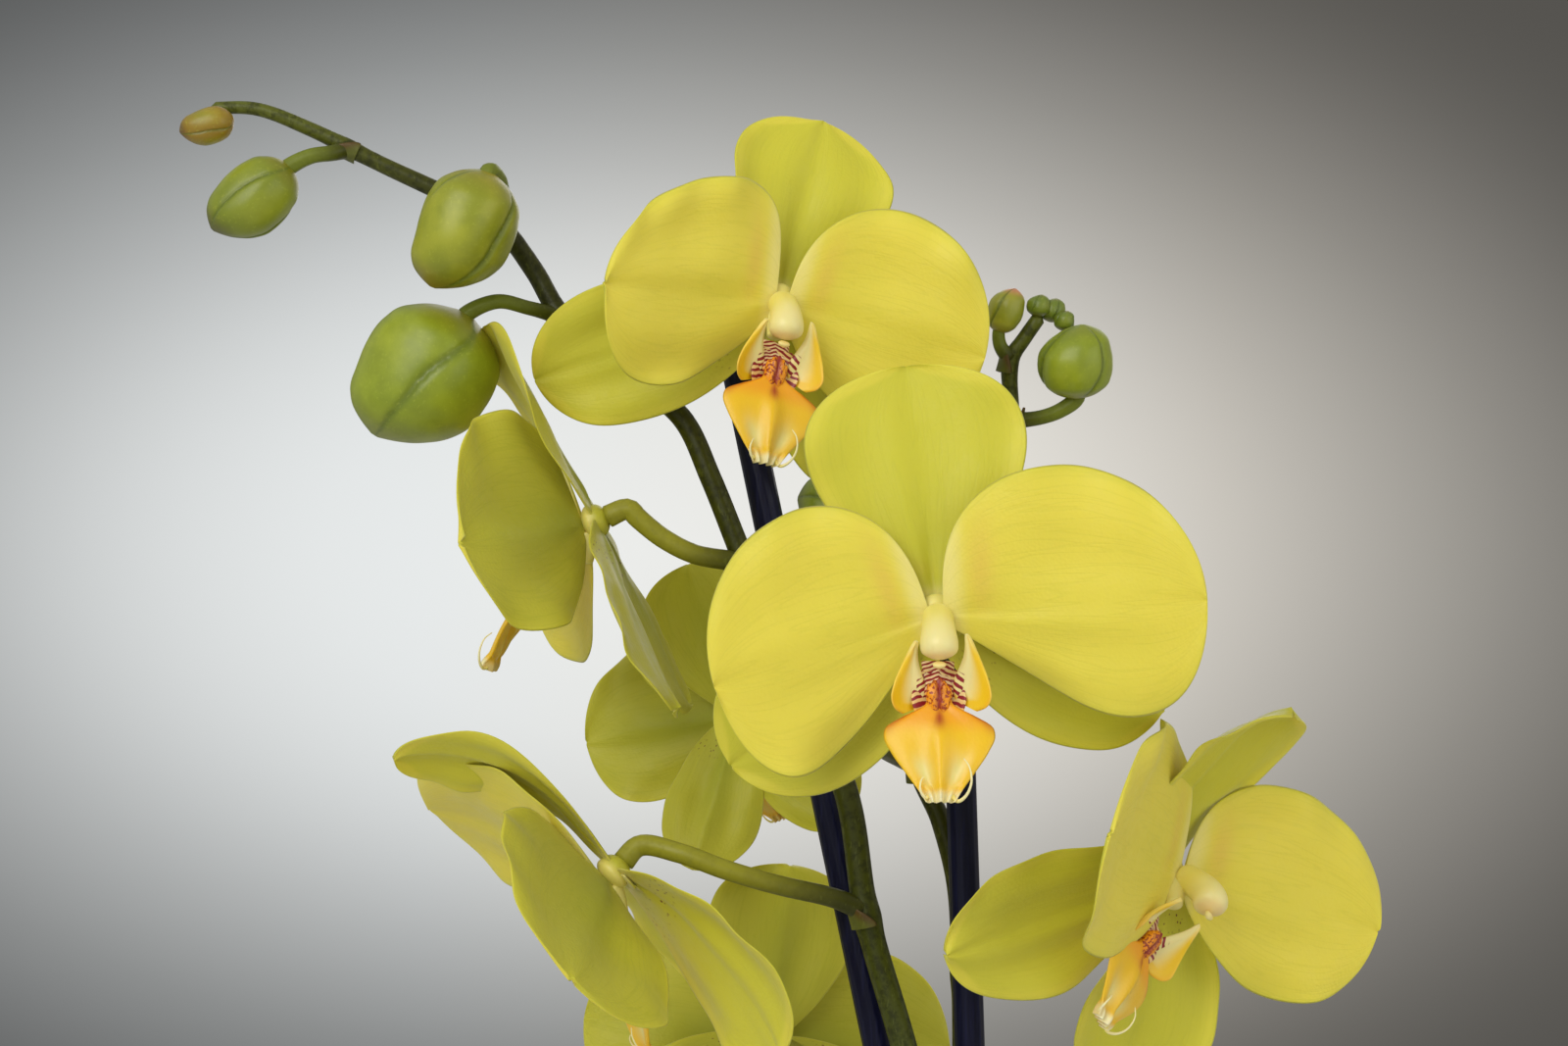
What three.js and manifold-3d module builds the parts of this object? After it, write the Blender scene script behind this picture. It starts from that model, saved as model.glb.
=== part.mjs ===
// Potted moth orchid: a plain pot of bark, a fan of leaves, aerial roots and two staked flower
// spikes that carry seven open flowers and their buds.
// Millimetres, +Z up. The origin is the centre of the pot's underside.
import * as THREE from 'three';
import { mergeVertices } from 'three/addons/utils/BufferGeometryUtils.js';
import Module from 'manifold-3d';

const wasm = await Module();
wasm.setup();

// ---------------------------------------------------------------- driving dimensions
const seatGap = 0.3; // clearance between two pieces that touch

const potHeight = 112;
const potTopRadius = 62;
const potFootRadius = 46;
const potWall = 4;
const potFloor = 5;
const potEdgeRound = 1.5;
const potSides = 36;
const headspace = 8; // from the bark's surface up to the rim

const crownCentre = [0, 12];
const crownRadiusAcross = 11;
const crownRadiusDeep = 8;
const crownBuried = 18; // below the bark's surface
const crownHeight = 52; // above it

const leafThickness = 2.2;
const rootRadius = 2.4;
const drawnBarkRadius = 56.857142857; // the bark's radius that the roots' routes below are drawn for
const stakeRadius = 3;
const stakeSides = 12;
const stakeFootAboveFloor = 10;
const stakeWallClearance = 1; // between a stake pushed down aslant and the pot's wall

const clipWall = 1.3;
const clipHeight = 9;

const stemSides = 8;
const stemStep = 14; // length of stem between two rings
const pedicelSides = 5;
const pedicelStep = 12;

const tepalThickness = 1;
const tepalRows = 5;
const tepalColumns = 4;
const knobRadius = 3.1; // where the five tepals meet behind the column
const knobBack = 3.8;
const knobFront = 3.4;

// ---------------------------------------------------------------- sizes that follow
const barkTop = potHeight - headspace;
const tepalStart = knobRadius + seatGap;
const potOuterRadius = (z) => potFootRadius + (potTopRadius - potFootRadius) * (z / potHeight);
const potInnerRadius = (z) => potOuterRadius(z) - potWall;
const rootSpread = potInnerRadius(barkTop) / drawnBarkRadius;

// ---------------------------------------------------------------- solids
function material(color, roughness) {
  return new THREE.MeshStandardMaterial({ color, roughness, metalness: 0 });
}

const paint = {
  glaze: material(0xe9e5dc, 0.35),
  bark: material(0x5b3d26, 0.9),
  leaf: material(0x3f6427, 0.45),
  crown: material(0x6c7d3c, 0.55),
  root: material(0xa3a88b, 0.75),
  stake: material(0x12142b, 0.4),
  clip: material(0x3c6b32, 0.35),
  stem: material(0x4a5220, 0.5),
  bud: material(0x8a9a2c, 0.5),
  petal: material(0xdfd052, 0.55),
  sepal: material(0xc9c24c, 0.55),
  lip: material(0xf2a51f, 0.5),
};

// A closed geometry as a manifold solid, its shared corners merged.
function toSolid(geometry) {
  const bare = geometry.clone();
  bare.deleteAttribute('normal');
  bare.deleteAttribute('uv');
  const merged = mergeVertices(bare, 1e-4);
  return new wasm.Manifold(new wasm.Mesh({
    numProp: 3,
    vertProperties: new Float32Array(merged.attributes.position.array),
    triVerts: new Uint32Array(merged.index.array),
  }));
}

function toGeometry(solid) {
  const mesh = solid.getMesh();
  const geometry = new THREE.BufferGeometry();
  geometry.setAttribute('position', new THREE.BufferAttribute(new Float32Array(mesh.vertProperties), 3));
  geometry.setIndex(new THREE.BufferAttribute(new Uint32Array(mesh.triVerts), 1));
  geometry.computeVertexNormals();
  return geometry;
}

function join(geometries) {
  return geometries.map(toSolid).reduce((whole, next) => whole.add(next));
}

// Rings of equal count, each a list of points, skinned and closed with a fan at both ends.
function skin(rings) {
  const sides = rings[0].length;
  const points = rings.flat();
  const faces = [];
  for (let r = 0; r + 1 < rings.length; r += 1) {
    for (let i = 0; i < sides; i += 1) {
      const a = r * sides + i;
      const b = r * sides + ((i + 1) % sides);
      faces.push(a, b, b + sides, a, b + sides, a + sides);
    }
  }
  const last = (rings.length - 1) * sides;
  for (let i = 1; i + 1 < sides; i += 1) {
    faces.push(0, i + 1, i);
    faces.push(last, last + i, last + i + 1);
  }
  const geometry = new THREE.BufferGeometry().setFromPoints(points);
  geometry.setIndex(faces);
  return geometry;
}

// A round stem along a smooth curve; its radius runs evenly through the list of radii.
function stemAlong(points, radii, sides, step) {
  const curve = new THREE.CatmullRomCurve3(points.map((p) => new THREE.Vector3(...p)), false, 'centripetal');
  const steps = Math.max(points.length, Math.round(curve.getLength() / step));
  const frames = curve.computeFrenetFrames(steps, false);
  const rings = [];
  for (let k = 0; k <= steps; k += 1) {
    const centre = curve.getPointAt(k / steps);
    const place = (k / steps) * (radii.length - 1);
    const low = Math.min(Math.floor(place), radii.length - 2);
    const radius = THREE.MathUtils.lerp(radii[low], radii[low + 1], place - low);
    const ring = [];
    for (let i = 0; i < sides; i += 1) {
      const turn = (2 * Math.PI * i) / sides;
      ring.push(centre.clone()
        .addScaledVector(frames.normals[k], radius * Math.cos(turn))
        .addScaledVector(frames.binormals[k], radius * Math.sin(turn)));
    }
    rings.push(ring);
  }
  return skin(rings);
}

// ---------------------------------------------------------------- leaf and tepal blades
// Half-width of a blade, as a share of its greatest: 0 at both ends, 1 at rise / (rise + round).
function lobe(s, rise, round) {
  const top = rise / (rise + round);
  return (s / top) ** rise * ((1 - s) / (1 - top)) ** round;
}

// A point on a blade. s runs from its base to its tip and v from -1 to 1 across it; lift is the
// height above the mid-surface. The blade lies along x, its face towards z, then it is cupped
// across, twisted, bowed sideways and bent lengthwise by the angle tilt + reflex * s ** late.
function bladePoint(blade, s, v, lift) {
  const { length, width, rise, round, claw = 0.12, skew = 0, cup = 0, cupTip = 0, twist = 0,
    bow = 0, tilt = 0, reflex = 0, late = 1 } = blade;
  const side = v > 0 ? rise[0] : rise[1];
  const outline = claw * (1 - s) ** round + (1 - claw) * lobe(s, side, round);
  const off = v * 0.5 * width * (1 + Math.sign(v) * skew) * outline;
  const turn = cup + cupTip * s;
  const curl = (Math.abs(turn) < 1e-4 ? 1e-4 : turn) / width;
  const flatAcross = Math.sin(curl * off) / curl;
  const flatUp = (1 - Math.cos(curl * off)) / curl + lift;
  const spin = twist * s;
  const across = flatAcross * Math.cos(spin) - flatUp * Math.sin(spin) + bow * length * s * s;
  const up = flatAcross * Math.sin(spin) + flatUp * Math.cos(spin);
  const parts = 24;
  let x = 0;
  let z = 0;
  for (let k = 0; k < parts; k += 1) {
    const angle = tilt + reflex * (s * (k + 0.5) / parts) ** late;
    x += (Math.cos(angle) * length * s) / parts;
    z -= (Math.sin(angle) * length * s) / parts;
  }
  const end = tilt + reflex * s ** late;
  return new THREE.Vector3(x + up * Math.sin(end), across, z + up * Math.cos(end));
}

// The closed solid of a blade: a face grid, a back grid and the rim between them.
function bladeSolid(blade, thickness, rows, columns) {
  const faces = [];
  const points = [];
  const at = (layer, i, j) => (layer * (rows + 1) + i) * (columns + 1) + j;
  for (const lift of [thickness / 2, -thickness / 2]) {
    for (let i = 0; i <= rows; i += 1) {
      const u = i / rows;
      const s = 0.985 * (0.65 * (0.5 - 0.5 * Math.cos(Math.PI * u)) + 0.35 * u);
      for (let j = 0; j <= columns; j += 1) {
        points.push(bladePoint(blade, s, (2 * j) / columns - 1, lift));
      }
    }
  }
  const quad = (a, b, c, d) => faces.push(a, b, c, a, c, d);
  for (let i = 0; i < rows; i += 1) {
    for (let j = 0; j < columns; j += 1) {
      quad(at(0, i, j), at(0, i + 1, j), at(0, i + 1, j + 1), at(0, i, j + 1));
      quad(at(1, i, j), at(1, i, j + 1), at(1, i + 1, j + 1), at(1, i + 1, j));
    }
    quad(at(0, i, 0), at(1, i, 0), at(1, i + 1, 0), at(0, i + 1, 0));
    quad(at(0, i, columns), at(0, i + 1, columns), at(1, i + 1, columns), at(1, i, columns));
  }
  for (let j = 0; j < columns; j += 1) {
    quad(at(0, 0, j), at(0, 0, j + 1), at(1, 0, j + 1), at(1, 0, j));
    quad(at(0, rows, j), at(1, rows, j), at(1, rows, j + 1), at(0, rows, j + 1));
  }
  const geometry = new THREE.BufferGeometry().setFromPoints(points);
  geometry.setIndex(faces);
  return geometry;
}

// A mirrored copy across y = 0, its faces still pointing out.
function mirrored(geometry) {
  const copy = geometry.clone().scale(1, -1, 1);
  const index = copy.index.array;
  for (let i = 0; i < index.length; i += 3) [index[i], index[i + 1]] = [index[i + 1], index[i]];
  return copy;
}

// ---------------------------------------------------------------- flower design
// The tepals of an ideal flower that looks along +z with its dorsal sepal towards +y. Angles are
// in radians, save `at`, the degrees from +x at which a tepal points. A blade's v > 0 side is its
// left as it points away; `flip` mirrors it. layer sets it before or behind the others.
const idealTepals = {
  dorsal_sepal: { at: 90, length: 41, width: 40, rise: [1, 1], round: 0.5, claw: 0.16, tilt: 0.16,
    reflex: 0.1, cup: 0.5, layer: -1.3 },
  lateral_left: { at: 218, length: 43, width: 30, rise: [0.8, 0.8], round: 0.5, claw: 0.2, tilt: 0.22,
    reflex: 0.15, cup: 0.5, layer: -1.3, flip: true },
  lateral_right: { at: -38, length: 43, width: 30, rise: [0.8, 0.8], round: 0.5, claw: 0.2, tilt: 0.22,
    reflex: 0.15, cup: 0.5, layer: -1.3 },
  petal_left: { at: 178, length: 43, width: 46, rise: [0.45, 0.8], round: 0.5, claw: 0.1, skew: 0.1,
    tilt: -0.1, reflex: -0.05, cup: -0.3, layer: 1.7, flip: true },
  petal_right: { at: 2, length: 43, width: 46, rise: [0.45, 0.8], round: 0.5, claw: 0.1, skew: 0.1,
    tilt: -0.1, reflex: -0.05, cup: -0.3, layer: 1.7 },
};

// Each flower: where its knob's centre is, measured from the bark's surface; how it is turned
// (degrees: yaw to the right, pitch downwards, roll to the right); its size; and how its own
// tepals differ from the ideal ones.
const flowers = {
  a: { at: [-38, -62, 362], yaw: 0, pitch: 6, roll: 0, size: 1, tepals: {
    dorsal_sepal: { at: 97, width: 43, rise: [1.15, 1.15] },
    petal_right: { at: 4, length: 44, width: 47 },
    petal_left: { at: 197, length: 38, width: 47 },
    lateral_left: { at: 219, length: 46, width: 33 },
    lateral_right: { at: -25, length: 45, width: 29 },
  } },
  b: { at: [-66, -16, 420], yaw: 14, pitch: 8, roll: 12, size: 0.97, tepals: {
    dorsal_sepal: { at: 83, length: 36, width: 36, tilt: 0.35 },
    petal_right: { at: -2, length: 38, width: 44, tilt: -0.2 },
    petal_left: { at: 184, length: 36, width: 41, tilt: -0.3 },
    lateral_left: { at: 213, length: 47, width: 31 },
    lateral_right: { at: -43 },
  } },
  c: { at: [-102, -8, 378], yaw: -98, pitch: 20, roll: 0, size: 0.97, tepals: {
    dorsal_sepal: { at: 86, tilt: -0.2, twist: 0.5, width: 34 },
    petal_right: { at: 3, length: 41, tilt: -0.32 },
    petal_left: { at: 191, tilt: -0.5 },
    lateral_left: { at: 240, tilt: -0.05 },
    lateral_right: { at: -62, tilt: 0.05 },
  } },
  d: { at: [-98, -12, 311], yaw: -70, pitch: 43, roll: 0, size: 1, tepals: {
    dorsal_sepal: { tilt: -0.1, length: 46, twist: 0.5 },
    petal_right: { at: 4, tilt: -0.5, width: 50 },
    petal_left: { at: 162, length: 40, tilt: -0.4 },
    lateral_left: { at: 236, tilt: 0.25, reflex: -0.5 },
    lateral_right: { at: -56, tilt: 0.15, reflex: -0.5, length: 46 },
  } },
  e: { at: [-74, 34, 339], yaw: 170, pitch: 6, roll: 18, size: 0.72, tepals: {
    petal_right: { at: 8 },
    lateral_right: { at: -60 },
    lateral_left: { at: 236 },
  } },
  f: { at: [7, -30, 313], yaw: 44, pitch: 14, roll: 20, size: 0.97, tepals: {
    dorsal_sepal: { at: 97, length: 40, width: 30, tilt: 0, reflex: -1.1 },
    petal_right: { at: -1, width: 44, tilt: -0.3 },
    petal_left: { at: 198, tilt: -0.45 },
    lateral_left: { at: 226, length: 46, width: 30 },
    lateral_right: { at: -50 },
  } },
  g: { at: [-68, 38, 272], yaw: 185, pitch: 8, roll: -6, size: 0.82, tepals: {} },
};

// The lip of the ideal flower: a hooded trough under the column. Each lobe is a blade with its
// own start and its own length and face directions, all in the flower's frame.
const lipLobes = {
  middle: { start: [0, -8, 5], along: [0, -0.8, 0.6], face: [0, 0.6, 0.8], blade: { length: 26,
    width: 19, rise: [2.4, 2.4], round: 0.8, claw: 0.34, cup: -0.5, tilt: -0.15, reflex: 0.75 } },
  side_left: { start: [-2.2, -12.5, 7.6], along: [-0.72, 0.1, 0.68], face: [0.68, 0.1, 0.72],
    blade: { length: 10.5, width: 13, rise: [0.4, 0.4], round: 0.5, claw: 0.55, cup: 0.9, bow: -0.42,
      reflex: -0.5 } },
  side_right: { start: [2.2, -12.5, 7.6], along: [0.72, 0.1, 0.68], face: [-0.68, 0.1, 0.72],
    blade: { length: 10.5, width: 13, rise: [0.4, 0.4], round: 0.5, claw: 0.55, cup: 0.9, bow: 0.42,
      reflex: -0.5 } },
};
const callus = { at: [0, -13.8, 9.2], radii: [2.5, 3.6, 1.9] };
const lipThickness = 1;

// The column arches over the lip; its foot reaches down to the lip's claw.
const columnLine = [[0, 1.6, 1.5], [0, 0.9, 5.5], [0, -1.8, 9.2], [0, -6, 11.6], [0, -8.2, 12.2]];
const columnRadii = [2.5, 2.4, 2.8, 3.1, 1.7];
const footLine = [[0, -1.2, 1.4], [0, -4.2, 2.4], [0, -6.9, 4.1]];
const footRadii = [2.1, 1.9, 1.6];

// ---------------------------------------------------------------- stakes and spikes
// A stake passes through two points, measured from the bark's surface; top is where it ends.
const stakes = {
  one: { low: [11.2, -19, 0], high: [-73.4, 7, 404], top: 413 },
  two: { low: [-20.3, -6, 0], high: [-30.3, 6, 324], top: 335 },
};

// Spike routes are set by hand, from the crown to the tip, measured from the bark's surface.
const spikes = {
  one: {
    line: [[4, 6, 8], [8, -2, 15], [13, -10, 27], [13.5, -18, 45], [8, -21, 70], [-6.5, -17.5, 116],
      [-23.3, -13.4, 196], [-36, -10.5, 253], [-42, -8.5, 277.6], [-49.2, -7.5, 303], [-53, -7, 326],
      [-62, -7, 346.7], [-72, -6, 369], [-79, -5, 386.4], [-84.5, -4, 398], [-93.3, -4, 405.5],
      [-107.6, -3, 417.4], [-113.3, -2, 426.8], [-119.6, -2, 435], [-127.5, -2, 440],
      [-143, -2, 447.4], [-157, -2, 454.3], [-167, -2, 458], [-176, -2, 458.2]],
    radii: [3, 3, 2.9, 2.8, 2.6, 2.4, 2.1, 1.9, 1.2],
  },
  two: {
    line: [[-2, 16, 8], [-5, 23, 16], [-11, 27, 30], [-19, 25, 52], [-24, 19, 88], [-26, 14, 140],
      [-28, 11, 206], [-29.5, 11.5, 256], [-30, 12.5, 290.5], [-31, 12.5, 307], [-34, 12, 319],
      [-38, 12, 330], [-34, 11, 346], [-28.4, 10, 363], [-24.6, 9, 380.6], [-20.6, 8, 398],
      [-20.5, 8, 410], [-18, 8, 414], [-14.5, 8, 419]],
    radii: [2.8, 2.7, 2.6, 2.4, 2.2, 2, 1.9, 1.4],
  },
};

// Flower stalks: the spike they leave, their route up to where the flower or bud sits, and their
// radius. A flower's stalk ends behind its knob, so its last point is worked out.
const flowerStalks = {
  a: { spike: 'two', line: [[-38, 12, 330], [-42, 6, 332], [-47, -6, 336], [-46, -26, 345],
    [-41, -42, 354]] },
  b: { spike: 'one', line: [[-93.3, -4, 405.5], [-90, 4, 411], [-82, 9, 418], [-73, 3, 420.5]] },
  c: { spike: 'one', line: [[-72, -6, 369], [-75, -8, 370.6], [-82, -9, 372], [-88, -9, 375],
    [-93, -9, 379]] },
  d: { spike: 'one', line: [[-50, -8, 304], [-55.6, -10, 306.4], [-66, -12, 309], [-77, -13, 312],
    [-86, -13.5, 315], [-91, -13, 315.5]] },
  e: { spike: 'one', line: [[-62, -7, 346.7], [-68, -5, 345.5], [-72, 5, 342.5], [-74, 20, 339.5]] },
  f: { spike: 'two', line: [[-30, 12.5, 290.5], [-22, 12, 293], [-12, 6, 300], [-2, -8, 309]] },
  g: { spike: 'two', line: [[-29.5, 11.5, 256], [-36, 18, 258], [-48, 27, 264], [-60, 31, 269.5]] },
};
const stalkRadius = 1.6;

// Buds: their stalk, then the bud's base and tip and its greatest radius.
const buds = {
  bud_1: { spike: 'one', stalk: [], base: [-171, -4.9, 456], tip: [-181, -5.5, 452.5], radius: 3.4 },
  bud_2: { spike: 'one', stalk: [[-149.5, -2, 450.3], [-152, -4, 449.3], [-156, -5, 448.6]],
    base: [-160, -5, 446.7], tip: [-174, -6, 433.4], radius: 6.5 },
  bud_3: { spike: 'one', stalk: [[-120.5, -2.5, 436], [-119, -8, 441], [-119.6, -13, 444]],
    base: [-121, -16, 444.5], tip: [-130, -15, 422], radius: 9.2 },
  bud_4: { spike: 'one', stalk: [[-108, -3, 417.8], [-114, -6, 419.3], [-120, -7, 420.5]],
    base: [-126, -7, 418], tip: [-141.5, -7, 393.5], radius: 12.5 },
  bud_5: { spike: 'two', stalk: [[-20.5, 8, 398], [-15, 6, 398.6], [-11, 4.6, 400]],
    base: [-8, 4, 402.4], tip: [-8.6, 0, 416.4], radius: 7 },
  bud_6: { spike: 'two', stalk: [[-20.5, 8, 410], [-22.6, 7, 412.6]],
    base: [-23, 6.6, 415.2], tip: [-20.4, 5.6, 424], radius: 3.4 },
  bud_7: { spike: 'two', stalk: [[-24.6, 9, 380.6], [-32, 12, 380], [-41, 13, 379.3]],
    base: [-47, 13, 379.2], tip: [-62.5, 14, 381.5], radius: 7 },
};
const budStalkRadius = 1.3;

// The cluster of unopened buds at the end of the second spike: centre and radius of each.
const tipCluster = [[-15.5, 7, 420.6, 2.2], [-12.6, 9, 419.8, 2.4], [-10.4, 7, 417.6, 2]];

// ---------------------------------------------------------------- leaves and roots
const leaves = {
  leaf_1: { at: 0, base: 27, blade: { length: 150, width: 58, tilt: -0.9, reflex: 1.15 } },
  leaf_2: { at: 176, base: 23, blade: { length: 175, width: 64, tilt: -0.75, reflex: 1.2 } },
  leaf_3: { at: -3, base: 18, blade: { length: 200, width: 72, tilt: -0.58, reflex: 1.05 } },
  leaf_4: { at: 174, base: 14, blade: { length: 205, width: 72, tilt: -0.46, reflex: 0.9 } },
  leaf_5: { at: -2, base: 9, blade: { length: 190, width: 70, tilt: -0.36, reflex: 0.75 } },
};
const leafShape = { rise: [0.8, 0.8], round: 0.42, claw: 0.24, cup: 0.6, cupTip: -0.3 };

const roots = {
  root_1: [[-6, 9, 1], [-20, 14, 8], [-34, 12, 9], [-45, 6, 3], [-48, 2, -9]],
  root_2: [[8, 10, 1], [22, 2, 8], [35, -7, 9], [43, -12, 3], [45, -14, -9]],
  root_3: [[-2, 18, 1], [0, 32, 9], [5, 43, 9], [9, 49, 2], [10, 50, -9]],
};
// This root climbs over the rim and hangs outside; its points are measured from the rim.
const hangingRoot = [[6, 17, -8], [18, 31, 4.2], [34, 38, 5.5], [43, 47, 4.6], [48.5, 53, -2],
  [50, 55, -14], [48.5, 54, -30], [49, 55, -42]];

// Clips tie a spike to its stake at this height above the bark.
const clips = {
  clip_1: { stake: 'one', spike: 'one', height: 226 },
  clip_2: { stake: 'two', spike: 'two', height: 206 },
};

// ---------------------------------------------------------------- building
const model = new THREE.Group();
const plant = new THREE.Group(); // everything measured from the bark's surface
plant.position.z = barkTop;
model.add(plant);

function addPiece(group, name, geometry, finish) {
  const mesh = new THREE.Mesh(geometry, finish);
  mesh.name = name;
  group.add(mesh);
}

const rad = THREE.MathUtils.degToRad;

// The matrix whose z axis is a flower's facing direction and whose y axis is its dorsal side.
function flowerMatrix(flower) {
  const yaw = rad(flower.yaw);
  const pitch = rad(flower.pitch);
  const facing = new THREE.Vector3(
    Math.sin(yaw) * Math.cos(pitch), -Math.cos(yaw) * Math.cos(pitch), -Math.sin(pitch));
  const level = new THREE.Vector3(0, 0, 1).addScaledVector(facing, -facing.z).normalize();
  const dorsal = level.applyAxisAngle(facing, -rad(flower.roll));
  const right = new THREE.Vector3().crossVectors(dorsal, facing);
  return new THREE.Matrix4().makeBasis(right, dorsal, facing)
    .setPosition(new THREE.Vector3(...flower.at));
}

function tepalGeometry(flower, name, rows, columns) {
  const tepal = { ...idealTepals[name], ...flower.tepals[name] };
  const blade = { ...tepal, length: tepal.length * flower.size, width: tepal.width * flower.size };
  let geometry = bladeSolid(blade, tepalThickness, rows, columns);
  if (tepal.flip) geometry = mirrored(geometry);
  return geometry.translate(tepalStart, 0, 0).rotateZ(rad(tepal.at)).translate(0, 0, tepal.layer);
}

// The strap that joins the two lateral sepals under the knob.
function lateralStrap() {
  const strap = { length: 3.4, width: 10.5, rise: [0.1, 0.1], round: 0.1, claw: 0.9 };
  return bladeSolid(strap, tepalThickness, 2, 2).translate(tepalStart, 0, 0)
    .rotateZ(rad(-90)).translate(0, 0, idealTepals.lateral_left.layer);
}

function lobeGeometry(lobePlace) {
  const along = new THREE.Vector3(...lobePlace.along).normalize();
  const face = new THREE.Vector3(...lobePlace.face);
  face.addScaledVector(along, -face.dot(along)).normalize();
  const across = new THREE.Vector3().crossVectors(face, along);
  const place = new THREE.Matrix4().makeBasis(along, across, face)
    .setPosition(new THREE.Vector3(...lobePlace.start));
  return bladeSolid(lobePlace.blade, lipThickness, 4, 2).applyMatrix4(place);
}

function lipGeometry() {
  const pad = new THREE.SphereGeometry(1, 6, 4).scale(...callus.radii).translate(...callus.at);
  return join([...Object.values(lipLobes).map(lobeGeometry), pad]);
}

function knobGeometry() {
  return new THREE.CylinderGeometry(knobRadius, knobRadius * 0.9, knobFront + knobBack, 7)
    .rotateX(Math.PI / 2).translate(0, 0, (knobFront - knobBack) / 2);
}

// Column, foot and knob of a flower, then its stalk, all part of the spike that bore it.
function flowerHeart(name) {
  const flower = flowers[name];
  const matrix = flowerMatrix(flower);
  const size = new THREE.Vector3(flower.size, flower.size, flower.size);
  const column = stemAlong(columnLine, columnRadii, 6, 5).scale(...size.toArray());
  const foot = stemAlong(footLine, footRadii, 4, 5).scale(...size.toArray());
  const back = new THREE.Vector3(0, 0, -knobBack + 1).applyMatrix4(matrix);
  const neck = new THREE.Vector3(0, 0, -knobBack - 4).applyMatrix4(matrix);
  const stalk = stemAlong([...flowerStalks[name].line, neck.toArray(), back.toArray()],
    [stalkRadius, stalkRadius, stalkRadius, stalkRadius * 1.15], pedicelSides, pedicelStep);
  return [...[column, foot, knobGeometry()].map((g) => g.applyMatrix4(matrix)), stalk];
}

// A bud: a rounded body with a short beak, turned about z and laid from base to tip.
function budGeometry(bud) {
  const base = new THREE.Vector3(...bud.base);
  const axis = new THREE.Vector3(...bud.tip).sub(base);
  const height = axis.length();
  const rings = 7;
  const profile = [new THREE.Vector2(0, 0)];
  for (let i = 1; i < rings; i += 1) {
    const t = i / rings;
    profile.push(new THREE.Vector2(bud.radius * Math.sin(Math.PI * t ** 0.85) ** 0.7, height * t));
  }
  profile.push(new THREE.Vector2(0, height));
  const turn = new THREE.Quaternion().setFromUnitVectors(new THREE.Vector3(0, 1, 0), axis.normalize());
  return new THREE.LatheGeometry(profile, 10).applyQuaternion(turn).translate(...bud.base);
}

// The stalk of a bud stops seatGap short of the bud's base.
function budStalk(bud) {
  if (bud.stalk.length === 0) return [];
  const base = new THREE.Vector3(...bud.base);
  const last = new THREE.Vector3(...bud.stalk.at(-1));
  const end = base.clone().addScaledVector(base.clone().sub(last).normalize(), 0.8);
  return [stemAlong([...bud.stalk, end.toArray()], [budStalkRadius, budStalkRadius * 1.25],
    pedicelSides, pedicelStep)];
}

function radiusNear(spike, height) {
  const heights = spike.line.map((p) => p[2]);
  const share = (height - heights[0]) / (heights.at(-1) - heights[0]);
  const place = THREE.MathUtils.clamp(share, 0, 1) * (spike.radii.length - 1);
  const low = Math.min(Math.floor(place), spike.radii.length - 2);
  return THREE.MathUtils.lerp(spike.radii[low], spike.radii[low + 1], place - low);
}

function crownGeometry(extra) {
  const profile = [[0, -crownBuried - extra], [0.55, -crownBuried - extra], [0.9, -crownBuried * 0.6],
    [1, 2], [0.97, crownHeight * 0.6], [0.6, crownHeight * 0.9 + extra], [0, crownHeight + extra]];
  const points = profile.map(([share, z]) => new THREE.Vector2(share, z));
  return new THREE.LatheGeometry(points, 14).rotateX(Math.PI / 2)
    .scale(crownRadiusAcross + extra, crownRadiusDeep + extra, 1)
    .translate(crownCentre[0], crownCentre[1], 0);
}

// A stake is pushed down until it is stakeFootAboveFloor over the floor or meets the wall.
function stakeFootHeight(low, lean) {
  const meetsWall = (height) => {
    const centre = low.clone().addScaledVector(lean, height);
    return Math.hypot(centre.x, centre.y) + stakeRadius + stakeWallClearance
      > potInnerRadius(barkTop + height);
  };
  const deepest = potFloor + stakeFootAboveFloor - barkTop;
  const steps = 100;
  for (let k = 1; k <= steps; k += 1) {
    if (meetsWall((deepest * k) / steps)) return (deepest * (k - 1)) / steps;
  }
  return deepest;
}

function stakeGeometry(stake, extra) {
  const low = new THREE.Vector3(...stake.low);
  const lean = new THREE.Vector3(...stake.high).sub(low);
  lean.divideScalar(lean.z);
  const footHeight = stakeFootHeight(low, lean);
  const foot = low.clone().addScaledVector(lean, footHeight - extra);
  const top = low.clone().addScaledVector(lean, stake.top);
  const geometry = new THREE.CylinderGeometry(
    stakeRadius + extra, stakeRadius + extra, foot.distanceTo(top), stakeSides);
  const turn = new THREE.Quaternion().setFromUnitVectors(
    new THREE.Vector3(0, 1, 0), top.clone().sub(foot).normalize());
  return geometry.applyQuaternion(turn).translate(...foot.lerp(top, 0.5).toArray());
}

// Pot: one turned wall and floor.
function potGeometry() {
  const outer = potOuterRadius;
  const inner = potInnerRadius;
  const edge = potEdgeRound;
  const profile = [[0, 0], [potFootRadius - edge, 0], [outer(edge), edge],
    [outer(potHeight - edge), potHeight - edge], [outer(potHeight) - edge, potHeight],
    [inner(potHeight) + edge, potHeight], [inner(potHeight - edge), potHeight - edge],
    [inner(potFloor + 2 * edge), potFloor + 2 * edge], [inner(potFloor) - 2 * edge, potFloor],
    [0, potFloor]].map(([r, z]) => new THREE.Vector2(r, z));
  return new THREE.LatheGeometry(profile, potSides).rotateX(Math.PI / 2);
}

addPiece(model, 'pot', potGeometry(), paint.glaze);

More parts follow.
